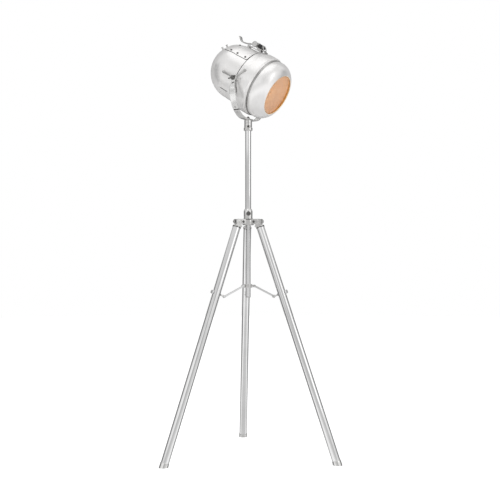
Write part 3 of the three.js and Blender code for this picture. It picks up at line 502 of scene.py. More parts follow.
def build_leg(number):
    hub_side = radial(number)
    hinge = Vector(LEG_HINGE)
    bolt = rod(hinge + Vector((0, -14.6, 0)), hinge + Vector((0, 14.6, 0)), 4, hub_side)
    heads, dishes = [], []
    for side in (1, -1):
        outwards = hub_side @ towards((0, side, 0), hinge + Vector((0, side * 14.0, 0)))
        head = [(0, 0), (6.5, 0), (6.5, 2.2), (5.6, 3.0), (0, 3.0)]
        heads.append(lathe(head, outwards, 56, fillet=0.5))
        dishes.append(lathe([(0, 1.4), (3.0, 1.4), (3.6, 4), (0, 4)], outwards, 48))
    fine(f"hinge_pin_{number}", minus(union(bolt, *heads), *dishes))

    leg = leg_frame(number)
    cap = lathe([(0, -48), (14.2, -48), (14.2, -22.7), (17, -22.7), (17, -20), (15, -18), (0, -18)],
                leg, fillet=0.7)
    outline = [(-16, -19), (9, -19), *arc((0, 0), 9, 0, 180, 24), (-20, -12), (-20, -16)]
    tongue = prism_xz(rounded(outline, 1.0, True), -7, 7, leg, 0.9)
    cross = rod((-15.5, -9, -13.5), (-15.5, 9, -13.5), 3, leg, 0.8)
    bore = rod((0, -20, 0), (0, 20, 0), 4.3, leg, 0)
    fine(f"leg_fitting_{number}", minus(union(cap, tongue, cross), bore))

    seal = hollow(15.7, 17.1, -25.4, -22.9, leg, 0.3)
    piece(f"cap_seal_{number}", seal, body=f"leg_{number}", slot="black_rubber")

    tube = hollow(14.5, 16, -992, -23, leg, 0.5, 128)
    fine(f"leg_tube_{number}", minus(tube, rod((-30, 0, -EYE_DROP), (30, 0, -EYE_DROP), 3.3, leg, 0)))

    foot = lathe([(0, -1012), (17.4, -1012), (17.4, -985.5), (16.3, -983), (16.3, -992.3), (0, -992.3)],
                 leg, fillet=0.4)
    reach = HINGE_HEIGHT / math.cos(LEG_TILT)
    ground_frame = leg @ Matrix.Translation((0, 0, -reach)) @ Matrix.Rotation(LEG_TILT, 4, "Y")
    ground = slab((-60, -60, -80), (60, 60, 0), ground_frame, 1, 0)
    fine(f"foot_{number}", minus(foot, ground))

    build_eye_bolt(number, leg)
    build_strut(number)


def build_eye_bolt(number, leg):
    eye_bolt = rod((-EYE_REACH, 0, -EYE_DROP), (22, 0, -EYE_DROP), 3, leg)
    eye = prism_xz(arc((-EYE_REACH, -EYE_DROP), 6.2, 0, 350, 35), -3, 3, leg, 0.7)
    hole = prism_xz(arc((-EYE_REACH, -EYE_DROP), 2.6, 0, 345, 23), -4, 4, leg)
    shoulder = lathe([(0, 16.3), (6.4, 16.3), (5, 19.2), (3, 19.6), (0, 19.6)],
                     leg @ towards((-1, 0, 0), (0, 0, -EYE_DROP)), 56, fillet=0.4)
    fine(f"strut_eye_{number}", union(minus(union(eye_bolt, eye), hole), shoulder))

    outwards = leg @ towards((1, 0, 0), (16.3, 0, -EYE_DROP))
    knob = prism(lobed(7.5, 12, 0.8), 1.2, 8, outwards, 0.8)
    flange = lathe([(0, 0), (5.8, 0), (5.8, 1.6), (0, 1.6)], outwards, 48, fillet=0.3)
    bore = lathe([(0, -1), (3.3, -1), (3.3, 6.2), (0, 6.2)], outwards, 40)
    fine(f"strut_knob_{number}", minus(union(knob, flange), bore))


def strut_ends():
    """The strut's pin on the spreader and its eye on the leg, in the leg's upright plane."""
    sine, cosine = math.sin(LEG_TILT), math.cos(LEG_TILT)
    out = HINGE_OUT + EYE_DROP * sine - EYE_REACH * cosine
    height = HINGE_HEIGHT - EYE_DROP * cosine - EYE_REACH * sine
    return SPREADER_PIN, (out, height)


def build_strut(number):
    matrix = radial(number)
    inner, outer = [Vector(end) for end in strut_ends()]
    along = (outer - inner).normalized()
    across = Vector((-along.y, along.x)) * 3.5
    start = math.degrees(math.atan2(along.y, along.x))
    outline = [inner + Vector(p) for p in arc((0, 0), 5, start + 45, start + 315, 28)]
    outline += [inner + along * 8 - across, outer - along * 8 - across]
    outline += [outer + Vector(p) for p in arc((0, 0), 5, start - 135, start + 135, 28)]
    outline += [outer - along * 8 + across, inner + along * 8 + across]
    bar = prism_xz(outline, 3.3, 6.3, matrix, 0.6)
    hole = rod((inner[0], 0, inner[1]), (inner[0], 9, inner[1]), 2.5, matrix, 0)
    rivet = lathe([(0, -0.6), (3.4, -0.6), (3.4, 0.2), (2.6, 1.2), (1.2, 1.8), (0, 1.9)],
                  matrix @ towards((0, 1, 0), (outer[0], 6.3, outer[1])), 40)
    fine(f"strut_{number}", union(minus(bar, hole), rivet))

    pin = rod((inner[0], -3, inner[1]), (inner[0], 7, inner[1]), 2, matrix, 0.3)
    head = lathe([(0, 0), (3.5, 0), (3.5, 0.6), (2.6, 1.6), (1.2, 2.1), (0, 2.2)],
                 matrix @ towards((0, 1, 0), (inner[0], 6.6, inner[1])), 40)
    fine(f"strut_pin_{number}", union(pin, head))


def build_spreader():
    profile = [(10.5, 677), (15.5, 677), (16.5, 678), (16.5, 690), (15.5, 691), (10.5, 691)]
    ring = lathe(profile, COLUMN, closed=True, fillet=0.8)
    groove = hollow(15.7, 17, 683, 685, COLUMN, 0.3)
    out, height = SPREADER_PIN
    lugs, holes = [], []
    for number in LEG_ANGLES:
        outline = [(13.5, height - 5), (out - 4, height - 5), *arc(SPREADER_PIN, 5, -90, 90, 20),
                   (out - 4, height + 5), (13.5, height + 5)]
        lugs.append(prism_xz(rounded(outline, 0.5), -3, 3, radial(number), 0.6))
        holes.append(rod((out, -4, height), (out, 4, height), 2.3, radial(number), 0))
    fine("spreader_ring", minus(union(ring, *lugs), groove, *holes))


# ---- column ----

def wing_screw(hub, length, span, wing, stud, stud_length, matrix, roll=0.0):
    """A turned boss with two swept wings, pointing along +Z from z = 0."""
    rolled = matrix @ Matrix.Rotation(roll, 4, "Z")
    boss = lathe([(0, 0), (hub, 0), (hub * 1.05, length * 0.15), (hub * 0.82, length * 0.5),
                  (hub * 0.8, length * 0.72), (hub * 0.5, length), (0, length)], rolled, 64, fillet=0.8)
    shank = rod((0, 0, -stud_length), (0, 0, 0.6), stud, rolled)
    wings = []
    for side in (1, -1):
        stations = []
        for i in range(13):
            t = i / 12
            reach = hub * 0.3 + (span + wing * 0.42 - hub * 0.3) * t
            swell = 0.62 + 0.5 * math.sin(math.pi * min(t * 1.15, 1) * 0.75)
            round_off = math.sqrt(max(1 - max(t - 0.72, 0) ** 2 / 0.0785, 0.0004))
            centre = (side * reach, 0, length * (0.38 + 0.5 * t ** 0.8))
            stations.append((centre, (0, 0, 1), wing * 0.55 * swell * round_off, (0, 1, 0),
                             wing * (0.24 - 0.07 * t) * max(round_off, 0.35)))
        wings.append(taper(stations, rolled))
    return union(boss, shank, *wings)


def build_column():
    fine("column_tube", hollow(10.5, 12, 946, 1349.5, COLUMN, 0.4, 128))
    fine("column_guide_tube", hollow(8.5, 10, 642, 1006, COLUMN, 0.4, 128))
    cap = lathe([(0, 637), (8, 637), (10, 639), (10, 641.7), (8.2, 641.7), (8.2, 654), (0, 654)],
                COLUMN, fillet=0.6)
    fine("column_end_cap", cap)

    collar = lathe([(12.3, 1312), (16, 1312), (18, 1315), (18, 1323), (15.8, 1326), (15.8, 1354.7),
                    (14.8, 1355.7), (5.3, 1355.7), (5.3, 1349.8), (12.3, 1349.8)],
                   COLUMN, 128, closed=True, fillet=0.9)
    grooves = [hollow(inside, 20, z - 0.9, z + 0.9, COLUMN, 0.3)
               for inside, z in ((17.3, 1319), (15, 1343))]
    hole = rod((0, -20, STEM_SCREW_HEIGHT), (0, 0, STEM_SCREW_HEIGHT), 2.8, COLUMN, 0)
    fine("stem_collar", minus(collar, *grooves, hole))
    outwards = COLUMN @ towards((0, -1, 0), (0, -16.1, STEM_SCREW_HEIGHT))
    fine("stem_wing_screw", wing_screw(4.2, 6.6, 7.0, 5.4, 2.5, 3.6, outwards))

    hexagon = prism(rounded(arc((0, 0), 7.2, 0, 300, 5), 0.4, True), 1360.8, 1365.4, COLUMN, 0.5)
    point = lathe([(0, 1365), (4.8, 1365), (4.6, 1366.6), (3.6, 1368.6), (1.8, 1370.2), (0, 1370.6)],
                  COLUMN, 64)
    bolt = rod((0, 0, 1341.5), (0, 0, 1361.8), 5, COLUMN)
    fine("yoke_nut", union(hexagon, point, bolt))


# ---- yoke ----

YOKE_FLOOR = 1358.25
YOKE_FLAT = 36
YOKE_BEND = 104
BEND_CENTRE = (YOKE_FLAT, YOKE_FLOOR + YOKE_BEND)
LAP_ANGLE = -48
LAP_GAP = 1.3  # degrees left on each side of the lap for its shim
STRAP_HALF_WIDTH = 12.5
STRAP_THICKNESS = 4.5
ARM_REACH = 131
ARM_END_RADIUS = 10
TILT_HEIGHT = 1505


def arm_half_width(height):
    """A full strap that narrows to a neck and ends in a round lobe about the tilt pivot."""
    lobe = ARM_END_RADIUS ** 2 - (height - TILT_HEIGHT) ** 2
    neck = STRAP_HALF_WIDTH
    if height > 1443:
        t = min((height - 1443) / (1489 - 1443), 1)
        neck = STRAP_HALF_WIDTH - 5 * (3 * t ** 2 - 2 * t ** 3)
    if height > 1497:
        return math.sqrt(max(lobe, 0.3))
    return max(neck, math.sqrt(lobe) if lobe > 0 else 0)


def arm_path():
    """The arm's centre line from the lap, up the bend and inwards to the top of its lobe."""
    bend = arc(BEND_CENTRE, YOKE_BEND, LAP_ANGLE + LAP_GAP, 0, 26)
    widest, start = YOKE_FLAT + YOKE_BEND, BEND_CENTRE[1]
    ease = []
    for i in range(1, 11):
        t = i / 10
        y = widest * (1 - t) ** 2 + widest * 2 * t * (1 - t) + ARM_REACH * t ** 2
        z = start * (1 - t) ** 2 + (start + 14) * 2 * t * (1 - t) + 1488 * t ** 2
        ease.append((y, z))
    lobe = [(ARM_REACH, TILT_HEIGHT - 8 + k) for k in range(0, 8, 2)]
    lobe += [(ARM_REACH, TILT_HEIGHT + ARM_END_RADIUS * math.sin(math.radians(a)))
             for a in range(4, 91, 6)]
    return bend + ease + [(ARM_REACH, 1493)] + lobe


def build_yoke():
    flat = [(YOKE_FLAT * t / 8, YOKE_FLOOR) for t in range(8)]
    half = flat + arc(BEND_CENTRE, YOKE_BEND, -90, LAP_ANGLE - LAP_GAP, 20)
    path = [(-y, z) for y, z in half[::-1]] + half[1:]
    base = strap(path, [STRAP_HALF_WIDTH] * len(path), STRAP_THICKNESS, YOKE)
    doublers = []
    for side in (1, -1):
        inner = arc(BEND_CENTRE, YOKE_BEND - 3, LAP_ANGLE - 14.3, LAP_ANGLE + 6, 8)
        inner = [(side * y, z) for y, z in inner]
        doublers.append(strap(inner, [8.5] * len(inner), 3.6, YOKE))
    hole = rod((0, 0, 1340), (0, 0, 1380), 5.3, YOKE, 0)
    fine("yoke_base", minus(union(base, *doublers), hole), "yoke_finish")

    for name, side in (("near", -1), ("far", 1)):
        path = [(side * y, z) for y, z in arm_path()]
        arm = strap(path, [arm_half_width(z) for _, z in path], STRAP_THICKNESS, YOKE)
        cut = rod((0, side * 110, TILT_HEIGHT), (0, side * 150, TILT_HEIGHT), 4.3, YOKE, 0)
        fine(f"yoke_arm_{name}", minus(arm, cut), "yoke_finish")
        outwards = YOKE @ towards((0, side, 0), (0, side * 133.55, TILT_HEIGHT))
        fine(f"tilt_knob_{name}", wing_screw(9, 12, 13, 10, 4, 9.5, outwards, math.pi * 0.1))
        build_lap(name, side)


def build_lap(name, side):
    """The black shim between the base and an arm, and the rivet on each side of it."""
    gap = arc(BEND_CENTRE, YOKE_BEND - 0.4, LAP_ANGLE - 1.8, LAP_ANGLE + 1.8, 4)
    gap = [(side * y, z) for y, z in gap]
    shim = strap(gap, [12.0] * len(gap), 3.2, YOKE)
    piece(f"lap_shim_{name}", shim, body="yoke", slot="black_rubber")
    for place, angle in (("lower", LAP_ANGLE - 7.5), ("upper", LAP_ANGLE + 6.5)):
        y, z = arc(BEND_CENTRE, YOKE_BEND + 2.2, angle, angle, 1)[0]
        direction = (0, side * math.cos(math.radians(angle)), math.sin(math.radians(angle)))
        head = lathe([(0, -0.5), (3.2, -0.5), (3.2, 0.1), (2.5, 1.0), (1.1, 1.6), (0, 1.7)],
                     YOKE @ towards(direction, (0, side * y, z)), 40)
        piece(f"yoke_rivet_{name}_{place}", head, body="yoke", slot="fastener_steel")


# ---- head ----

DOME_CENTRE = -54
DOME_RADIUS = 111
RING_REAR = 12
RING_RADIUS = 119


def skin_radius(station):
    """The head's outer radius at a station along its axis: the dome, its cone, then the clamp ring."""
    if station >= RING_REAR:
        return RING_RADIUS
    if station >= DOME_CENTRE:
        return DOME_RADIUS + 3 * (station - DOME_CENTRE) / 62
    return math.sqrt(max(DOME_RADIUS ** 2 - (station - DOME_CENTRE) ** 2, 0))


def on_skin(station, degrees, lift=0.0):
    """The housing's point and normal at a station and an angle from the top towards the near side."""
    angle = math.radians(degrees)
    sideways = Vector((0, -math.sin(angle), math.cos(angle)))
    radius = skin_radius(station)
    lean = min(station - DOME_CENTRE, 0)
    normal = (Vector((lean, 0, 0)) + sideways * math.sqrt(DOME_RADIUS ** 2 - lean ** 2)).normalized()
    return Vector((station, 0, 0)) + sideways * radius + normal * lift, normal


def turned_head(profile, segments=192, closed=True, fillet=0.0):
    """A shell turned about the head's axis from (station, radius) points."""
    return lathe([(r, s) for s, r in profile], HEAD_TURN, segments, closed, fillet)


def shell_profile(inner, outer, rear, front):
    """A band of the housing's skin between two offsets and two stations."""
    outside, inside = [], []
    for i in range(41):
        station = rear + (front - rear) * i / 40
        radius = skin_radius(station)
        lean = min(station - DOME_CENTRE, 0) / DOME_RADIUS
        outside.append((station + lean * outer, radius + outer * math.sqrt(1 - lean ** 2)))
        inside.append((station + lean * inner, radius + inner * math.sqrt(1 - lean ** 2)))
    return outside + inside[::-1]


def skin_patch(degrees, low, high, outline):
    """A piece of the skin between two offsets, cut by an outline seen from an angle round the head."""
    up = Vector((0, -math.sin(math.radians(degrees)), math.cos(math.radians(degrees))))
    across = up.cross(Vector((1, 0, 0)))
    plane = HEAD @ Matrix((
        (1, across.x, up.x, 0),
        (0, across.y, up.y, 0),
        (0, across.z, up.z, 0),
        (0, 0, 0, 1)))
    band = turned_head(shell_profile(low, high, -126, 10))
    return combined("INTERSECT", band, prism([(x, -y) for x, y in outline], 20, 200, plane))


def hatch_outline(margin):
    m = margin
    corners = [(-118 - m, -29 - m), (-84, -36 - m), (6 + m, -38 - m), (6 + m, 38 + m), (-46, 36.5 + m),
               (-84, 33 + m), (-104, 28 + m), (-118 - m, 21 + m)]
    return rounded(corners, 8 + m, True, 8)


def build_housing():
    outer = arc((DOME_CENTRE, 0), DOME_RADIUS, 180, 90, 56)
    inner = arc((DOME_CENTRE, 0), DOME_RADIUS - 2, 90, 180, 56)
    shell = turned_head([*outer, (8, 114), (11.2, 114), (12, 113.2), (12, 112), (8, 112), *inner],
                        closed=False)
    slots = [skin_groove(136, 2.2, 5), skin_groove(143, 0.9, 1.4)]
    fine("rear_housing", minus(shell, *slots))
    seal = turned_head([(7.6, 113.4), (7.6, 114.9), (9.2, 115.7), (11.2, 115.7), (12.2, 114.8),
                        (12.2, 113.4)], fillet=0.4)
    piece("seam_seal", seal, body="head", slot="black_rubber")


def build_hatch():
    fine("hatch_cover", skin_patch(35, 0.3, 1.6, hatch_outline(0)))
    # a black gasket under the hatch, made wider than the cover so that its rim also paints the shadow
    # line round the hatch edge
    shadow_gasket = skin_patch(35, -0.6, 0.55, hatch_outline(1.6))
    piece("hatch_gasket_painted_shadow", shadow_gasket, body="head", slot="black_rubber")
    for i, (station, degrees) in enumerate([(-82, 49), (-48, 50), (-8, 50), (-81, 21)]):
        point, normal = on_skin(station, degrees, 1.6)
        screw = small_screw(HEAD @ towards(normal, point), 4.3, 2.6)
        fine(f"hatch_screw_{i + 1}", screw, "dark_nickel")
    for i, (station, degrees) in enumerate([(-135, 42), (-128, 30)]):
        point, normal = on_skin(station, degrees, 0.4)
        profile = [(0, -4), (1.6, -4), (1.6, 0), (4.4, 0), (4.2, 1.2), (2.5, 3), (2.4, 5), (4.3, 6.6),
                   (4.5, 8.2), (3.5, 9.8), (0, 10.2)]
        stud = lathe(profile, HEAD @ towards(normal, point), 48, fillet=0.4)
        fine(f"hatch_stud_{i + 1}", stud, "polished_parts")


def build_gland():
    direction = Vector((-0.55, 0.45, -0.7)).normalized()
    seat = HEAD @ towards(direction, (DOME_CENTRE, 0, 0))
    gland = lathe([(3.6, 98), (6, 98), (6, 111.3), (9.5, 111.3), (9.5, 116), (7, 117.2), (5.6, 118.4),
                   (6.0, 119.6), (5.2, 120.8), (5.4, 122), (4.4, 124), (3.6, 124)],
                  seat, 72, closed=True, fillet=0.5)
    fine("cable_gland", gland)


def build_baffle():
    """The dark plate behind the dome's slots."""
    outline = rounded([(-60, -6), (-9, -6), (-9, 6), (-60, 6)], 2, True)
    piece("slot_baffle", skin_patch(136, -4.2, -3.2, outline), body="head", slot="black_rubber")


def skin_groove(degrees, half_width, half_depth):
    """A long slender cutter lying in the housing's skin."""
    stations = []
    angle = math.radians(degrees)
    around = Vector((0, -math.cos(angle), -math.sin(angle)))
    for i in range(17):
        t = i / 16
        point, normal = on_skin(-57 + 44 * t, degrees)
        swell = math.sqrt(max(1 - (2 * t - 1) ** 6, 0.01))
        stations.append((point, around, half_width * swell, normal, half_depth))
    return taper(stations, HEAD)


def build_front():
    profile = [(12.3, RING_RADIUS), (40, RING_RADIUS), (42, 125), (78, 125), (84, 121), (86, 118),
               (84.5, 116.6), (80, 119.5), (77, 122.6), (43.5, 122.6), (41.5, 116.8), (14.5, 116.8),
               (14.5, 109.7), (2, 109.7), (2, 111.7), (12.3, 111.7)]
    fine("clamp_ring", turned_head(profile, fillet=1.1))
    # a grey band in the groove between clamp ring and hood: painted shade standing in for the groove's
    # soft shadow
    seal = turned_head([(86.3, 116.6), (86.3, 118.2), (87.6, 119.8), (89.6, 120.4), (92.2, 120.3),
                        (94.2, 119.4), (94.2, 118.2)], fillet=0.4)
    piece("hood_groove_shade_band", seal, body="head", slot="fastener_steel")
    # the mouth's lip is real; its gold colour is a painted reflection of the warm interior on the rim's
    # inside
    lip = turned_head([(151.2, 80.4), (152.6, 81.4), (151.8, 83.2), (144.5, 89.4), (136.8, 94.2),
                       (136.0, 93.4), (143.6, 87.2)], fillet=0.4)
    piece("mouth_lip", lip, body="head", slot="reflector_metal", finish="golden_lip_painted_reflection")

    centre, radius = (103, 66.5), 53
    outside = arc(centre, radius, 106.4, 19.4, 40)
    inside = arc(centre, radius - 2, 19.8, 107, 40)
    hood = turned_head([(46, 122.2), (56, 122.2), (62, 116.2), (86.3, 116.2), *outside, (152.4, 82.2),
                        (151, 82.0), *inside, (62, 114.2), (55, 120.2), (46, 120.2)], fillet=0.8)
    fine("hood", hood)
    line_inside(hood)


def line_inside(mesh):
    """Gives the lining's material, with its painted glow, to the faces that look towards the head's axis.
    """
    mesh.materials.append(PAINTED_GLOW_LINING)
    axis = (HEAD.to_3x3() @ Vector((1, 0, 0))).normalized()
    for polygon in mesh.polygons:
        arm = polygon.center - HEAD.translation
        outward = arm - axis * arm.dot(axis)
        if polygon.normal.dot(outward) < 0:
            polygon.material_index = 1


def build_optics():
    focus, rim = 24.9, 16
    neck_radius, rim_radius = 23.5, 107
    apex = rim - rim_radius ** 2 / (4 * focus)
    radii = [neck_radius + (rim_radius - neck_radius) * i / 40 for i in range(41)]
    front = [(apex + r ** 2 / (4 * focus), r) for r in radii]
    back = [(s - 1.4, r) for s, r in front[::-1]]
    bowl = [*front, (rim, 116.3), (rim - 1.2, 116.3), (rim - 1.2, 107.4), *back]
    fine("reflector", turned_head(bowl, fillet=0.4))

    profile = [(-160, 0), (-160, 20), (-128, 20), (-127, 18.6), (-125, 18.6), (-124, 20), (-86, 20),
               (-84, 19), (-84, 14.5), (-118, 14.5), (-118, 0)]
    fine("lamp_holder", turned_head(profile, 96, closed=False, fillet=0.9))
    threads = [(-115 + i * 1.8, 13.0 if i % 2 else 12.2) for i in range(15)]
    profile = [(-117, 0), (-116.6, 4), *threads, (-86, 13.2), (-80, 15), (-72, 19.5), (-64, 24),
               *arc((-42, 0), 30, 126, 0, 30)]
    bulb = fine("bulb", turned_head(profile, 96, closed=False))
    lamp = bpy.data.lights.new("filament", "POINT")
    lamp.energy = 0.04
    lamp.color = (1.0, 0.84, 0.68)
    lamp.shadow_soft_size = 0.03
    glow = placed("filament", lamp)
    glow.location = HEAD @ Vector((6, 0, 0))
    glow.parent = bulb


def build_trunnions():
    drop = TILT_HEIGHT - HEAD_HEIGHT
    pivot = Vector((-drop * math.sin(HEAD_DIP), 0, drop * math.cos(HEAD_DIP)))
    for name, side in (("near", -1), ("far", 1)):
        outwards = HEAD @ towards((0, side, 0), (pivot.x, side * 110, pivot.z))
        hub = lathe([(0, 0), (11, 0), (11, 16.6), (9.6, 18.3), (0, 18.3)], outwards, 72, fillet=0.8)
        centre = Vector((pivot.x, side * 124.05, pivot.z))
        solids = []
        for station, height in ((-52, -17), (33, 30), (36, -62)):
            radius = skin_radius(station) + 2.4
            lateral = math.sqrt(radius ** 2 - height ** 2)
            foot = Vector((station, side * lateral, height))
            normal = Vector((0, side * lateral, height)).normalized()
            along = (foot - centre).normalized()
            across = along.cross(Vector((0, side, 0))).normalized()
            facing = across.cross(along).normalized()
            stations = []
            for i in range(15):
                t = i / 14
                bow = math.sin(math.pi * t) * 1.2
                point = centre.lerp(foot, t) + facing * (bow if facing.y * side > 0 else -bow)
                stations.append((point, across, 4.2 - 1.4 * math.sin(math.pi * t), facing, 1.9))
            solids.append(taper(stations, HEAD))
            pad = HEAD @ towards(normal, foot)
            solids.append(lathe([(0, -3.2), (5.8, -3.2), (5.8, 0.9), (5.0, 1.6), (0, 1.6)], pad, 56,
                                fillet=0.5))
            solids.append(small_screw(HEAD @ towards(normal, foot + normal * 1.5), 4.0, 2.6, 1.0))
        core = rod((pivot.x, side * 100, pivot.z), (pivot.x, side * 140, pivot.z), 4.3, HEAD, 0)
        fine(f"trunnion_bracket_{name}", minus(union(hub, *solids), core), "polished_parts")


FULCRUM, DRUM = (-10, 136), (-36, 134)
CATCH_STATION = 16


def cross_lathe(point, profile):
    """A solid turned about an axis that runs across the head."""
    return lathe(profile, HEAD @ towards((0, 1, 0), (point[0], 0, point[1])), 64)


def cross_pin(point):
    return cross_lathe(point, [(0, -14.5), (3, -14.5), (3, 14.5), (0, 14.5)])


def cross_bore(point):
    return rod((point[0], -20, point[1]), (point[0], 20, point[1]), 3.3, HEAD, 0)


def build_latch():
    plate = slab((-66, -11, 115.5), (3, 11, 118.5), HEAD, 3, 0.7)
    feet = [slab((s0, -11, 111.5), (s1, 11, 117), HEAD, 1, 0.5) for s0, s1 in ((-66, -56), (-7, 3))]
    cheek = rounded([(-20, 117), (0, 117), *arc(FULCRUM, 6.4, -8, 188, 24)], 0.6, True)
    cheeks = [prism_xz(cheek, *sorted((side * 7.5, side * 10.2)), HEAD, 0.5) for side in (1, -1)]
    screws = [small_screw(HEAD @ towards((0, 0, 1), (s, 0, 118.4)), 3.2, 2.0) for s in (-60, -50)]
    fine("latch_base", minus(union(plate, *feet, *cheeks, *screws), cross_bore(FULCRUM)))

    profile = [(0, 14), (5.6, 14), (7.8, 14.4), (8.8, 15.8), (7.4, 17.5), (8.8, 19.2), (7.8, 20.6),
               (5.6, 21), (2.4, 20.6), (0, 20.2)]
    rollers = [cross_lathe(FULCRUM, [(r, side * z) for r, z in profile]) for side in (1, -1)]
    fine("latch_roller", union(cross_pin(FULCRUM), *rollers))
    build_lever()

    heads, dishes = [], []
    for side in (1, -1):
        outwards = HEAD @ towards((0, side, 0), (DRUM[0], side * 13.9, DRUM[1]))
        heads.append(prism(lobed(12, 28, 0.5, 8), 0, 4.1, outwards, 0.6))
        dishes.append(lathe([(3.4, 3.2), (8.6, 3.2), (9.2, 6), (3.0, 6)], outwards, 64, closed=True))
    fine("latch_drum", minus(union(cross_pin(DRUM), *heads), *dishes), "polished_parts")
    build_link()

    pad = slab((13.3, -9, 119.3), (27, 9, 121.4), HEAD, 2, 0.6)
    profile = [(0, 120.5), (3, 120.5), (3, 125.6), (3.5, 126.6), (3.3, 128), (2.0, 128.5), (0, 128.5)]
    stud = lathe(profile, HEAD @ Matrix.Translation((CATCH_STATION, 0, 0)), 48)
    fine("latch_catch", union(pad, stud))


def build_lever():
    tab = [FULCRUM, DRUM, (-60, 127.5), (-75, 121.5), (-96, 117.8), (-104, 119), (-111, 124),
           (-116, 130.5), (-121, 131.5)]
    smooth = rounded(tab, 26, steps=8)

    def half_width(station):
        """Narrow between the cheeks of the base, wider beyond them, and flared at the tab."""
        if station > -40:
            return 7.0
        return 8.0 + 1.2 * math.sin(min(max(-88 - station, 0) / 33, 1) * math.pi / 2)

    to_strap = HEAD @ Matrix.Rotation(math.pi / 2, 4, "Z")
    lever = strap([(-x, z) for x, z in smooth], [half_width(x) for x, _ in smooth], 4.6, to_strap, 1.4)
    boss = [(0, -7), (5, -7), (5.6, -6.4), (5.6, 6.4), (5, 7), (0, 7)]
    bosses = [cross_lathe(point, boss) for point in (FULCRUM, DRUM)]
    bores = [cross_bore(point) for point in (FULCRUM, DRUM)]
    fine("latch_lever", minus(union(lever, *bosses), *bores), "polished_parts")


def build_link():
    """Two arched bars from the drum to a bridge that drops over the catch's stud."""
    tilt = math.radians(10.4)
    reach = (CATCH_STATION - DRUM[0]) / math.cos(tilt)
    matrix = HEAD @ Matrix.Translation((DRUM[0], 0, DRUM[1])) @ Matrix.Rotation(tilt, 4, "Y")
    arch = rounded([(0, 0), (8, 9), (16, 12.9), (34, 12.9), (42, 8), (reach - 5, 0)], 9, steps=6)
    spine = [Vector(p) for p in arch]
    solids = []
    for side in (1, -1):
        stations = []
        for i, p in enumerate(spine):
            ahead = spine[min(i + 1, len(spine) - 1)] - spine[max(i - 1, 0)]
            normal = Vector((-ahead.y, 0, ahead.x)).normalized()
            stations.append(((p.x, side * 12.15, p.y), normal, 1.8, (0, 1, 0), 1.2))
        solids.append(taper(stations, matrix))
        solids.append(lathe([(0, -1.35), (5.6, -1.35), (6, -0.9), (6, 0.9), (5.6, 1.35), (0, 1.35)],
                            matrix @ towards((0, 1, 0), (0, side * 12.15, 0)), 56))
    bridge = slab((reach - 14, -13.5, -1.3), (reach + 8, 13.5, 1.3), matrix, 4, 0.6)
    axle_bore = rod((0, -20, 0), (0, 20, 0), 3.3, matrix, 0)
    stud_hole = rod((reach, 0, -5), (reach, 0, 5), 4.8, matrix, 0)
    fine("latch_link", minus(union(bridge, *solids), axle_bore, stud_hole), "polished_parts")


build_hub()
for leg_number in LEG_ANGLES:
    build_leg(leg_number)
build_spreader()
build_column()
build_yoke()
build_housing()
build_hatch()
build_gland()
build_baffle()
build_front()
build_optics()
build_trunnions()
build_latch()

# ---- studio ----

SENSOR_WIDTH, LENS = 36, 64.64
CAMERA_SIDE, CAMERA_BACK, CAMERA_HEIGHT = -0.21466, -3.62642, 0.7898
CAMERA_SWING, CAMERA_LIFT = 0.061194, 0.010891


def build_camera(scene):
    data = bpy.data.cameras.new("camera")
    data.sensor_width = SENSOR_WIDTH
    data.lens = LENS
    data.clip_end = 60
    camera = placed("camera", data)
    level = math.cos(CAMERA_LIFT)
    look = Vector((math.sin(CAMERA_SWING) * level, math.cos(CAMERA_SWING) * level,
                   math.sin(CAMERA_LIFT)))
    camera.location = (CAMERA_SIDE, AXIS_AT_Y + CAMERA_BACK, CAMERA_HEIGHT)
    camera.rotation_euler = look.to_track_quat("-Z", "Y").to_euler()
    scene.camera = camera


def build_floor():
    mesh = bpy.data.meshes.new("floor")
    ring = [(x, y, 0) for x, y in arc((0, 0), 9, 0, 360 * 95 / 96, 95)]
    mesh.from_pydata(ring, [], [list(range(len(ring)))])
    floor = placed("floor", mesh)
    material, tree, shader = new_material("floor")
    mottle(tree, shader.inputs["Base Color"], noise(tree, 3, 2), (0.90, 0.90, 0.90), (0.88, 0.88, 0.88))
    shader.inputs["Roughness"].default_value = 0.9
    shader.inputs["Specular IOR Level"].default_value = 0.1
    shader.inputs["Emission Strength"].default_value = 0.6
    mesh.materials.append(material)
    floor.visible_glossy = False


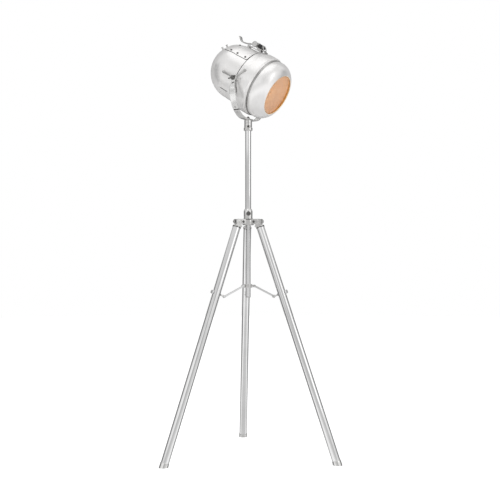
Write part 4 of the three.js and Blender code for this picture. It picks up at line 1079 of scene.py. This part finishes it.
def build_world(scene):
    """A soft grey room, its brightness set by the height (up) and the bearing (turn, spread)."""
    world = bpy.data.worlds.new("studio")
    scene.world = world
    world.use_nodes = True
    nodes, links = world.node_tree.nodes, world.node_tree.links
    background = nodes["Background"]
    coordinates = nodes.new("ShaderNodeTexCoord")
    split = nodes.new("ShaderNodeSeparateXYZ")
    links.new(coordinates.outputs["Generated"], split.inputs["Vector"])

    def linked(value, socket):
        if isinstance(value, (int, float)):
            socket.default_value = value
        else:
            links.new(value, socket)

    def maths(operation, first, second=0.0):
        node = nodes.new("ShaderNodeMath")
        node.operation = operation
        linked(first, node.inputs[0])
        linked(second, node.inputs[1])
        return node.outputs[0]

    def rise(value, start, end):
        node = nodes.new("ShaderNodeMapRange")
        node.interpolation_type = "SMOOTHSTEP"
        node.inputs["From Min"].default_value = start
        node.inputs["From Max"].default_value = end
        linked(value, node.inputs["Value"])
        return node.outputs["Result"]

    def fall(value, start, end):
        return maths("SUBTRACT", 1.0, rise(value, start, end))

    def band(value, start, full, fade, end):
        return maths("MULTIPLY", rise(value, start, full), fall(value, fade, end))

    def towards_level(current, level, amount):
        """Moves a brightness towards a level by an amount from 0 to 1."""
        difference = maths("SUBTRACT", level, current)
        return maths("ADD", current, maths("MULTIPLY", difference, amount))

    up = split.outputs["Z"]
    down = maths("MULTIPLY", up, -1)
    back = maths("MULTIPLY", split.outputs["Y"], -1)
    turn = maths("MULTIPLY", maths("ARCTAN2", split.outputs["X"], back), 180 / math.pi)
    spread = maths("ABSOLUTE", turn)
    horizon = band(up, -0.10, 0.0, 0.12, 0.20)
    right = band(turn, 25, 40, 65, 80)
    softboxes = maths("MULTIPLY", band(up, 0.14, 0.20, 0.36, 0.44), band(spread, 14, 20, 62, 75))
    gap = maths("MULTIPLY", band(up, 0.05, 0.15, 0.40, 0.50), fall(spread, 8, 14))
    low = fall(maths("ABSOLUTE", up), 0.40, 0.50)

    light = towards_level(0.76, 0.62, horizon)
    light = towards_level(light, 0.88, maths("MULTIPLY", horizon, right))
    light = towards_level(light, 1.0, softboxes)
    light = towards_level(light, 0.50, gap)
    light = towards_level(light, 1.05, rise(down, 0.15, 0.30))
    light = towards_level(light, 0.66, rise(down, 0.58, 0.68))
    light = towards_level(light, 0.46, rise(spread, 116, 124))
    light = towards_level(light, 0.12, maths("MULTIPLY", low, band(spread, 90, 96, 116, 124)))
    light = towards_level(light, 0.20, maths("MULTIPLY", low, rise(spread, 156, 168)))
    links.new(light, background.inputs["Color"])

    backdrop = nodes.new("ShaderNodeBackground")
    backdrop.inputs["Color"].default_value = (1, 1, 1, 1)
    path = nodes.new("ShaderNodeLightPath")
    chooser = nodes.new("ShaderNodeMixShader")
    links.new(path.outputs["Is Camera Ray"], chooser.inputs["Fac"])
    links.new(background.outputs[0], chooser.inputs[1])
    links.new(backdrop.outputs[0], chooser.inputs[2])
    links.new(chooser.outputs[0], nodes["World Output"].inputs["Surface"])


def softbox(name, location, target, size, energy):
    light = bpy.data.lights.new(name, "AREA")
    light.shape = "RECTANGLE"
    light.size, light.size_y = size
    light.energy = energy
    obj = placed(name, light)
    obj.location = location
    obj.rotation_euler = (Vector(target) - Vector(location)).to_track_quat("-Z", "Y").to_euler()


def build_studio():
    scene = bpy.context.scene
    scene.view_settings.view_transform = "Standard"
    build_camera(scene)
    build_floor()
    build_world(scene)
    softbox("key", (2.6, -2.4, 2.2), (0, 0, 1.0), (0.9, 2.4), 6)
    softbox("top", (0, -0.6, 3.6), (0, 0, 0.8), (2.4, 2.4), 10)


build_studio()
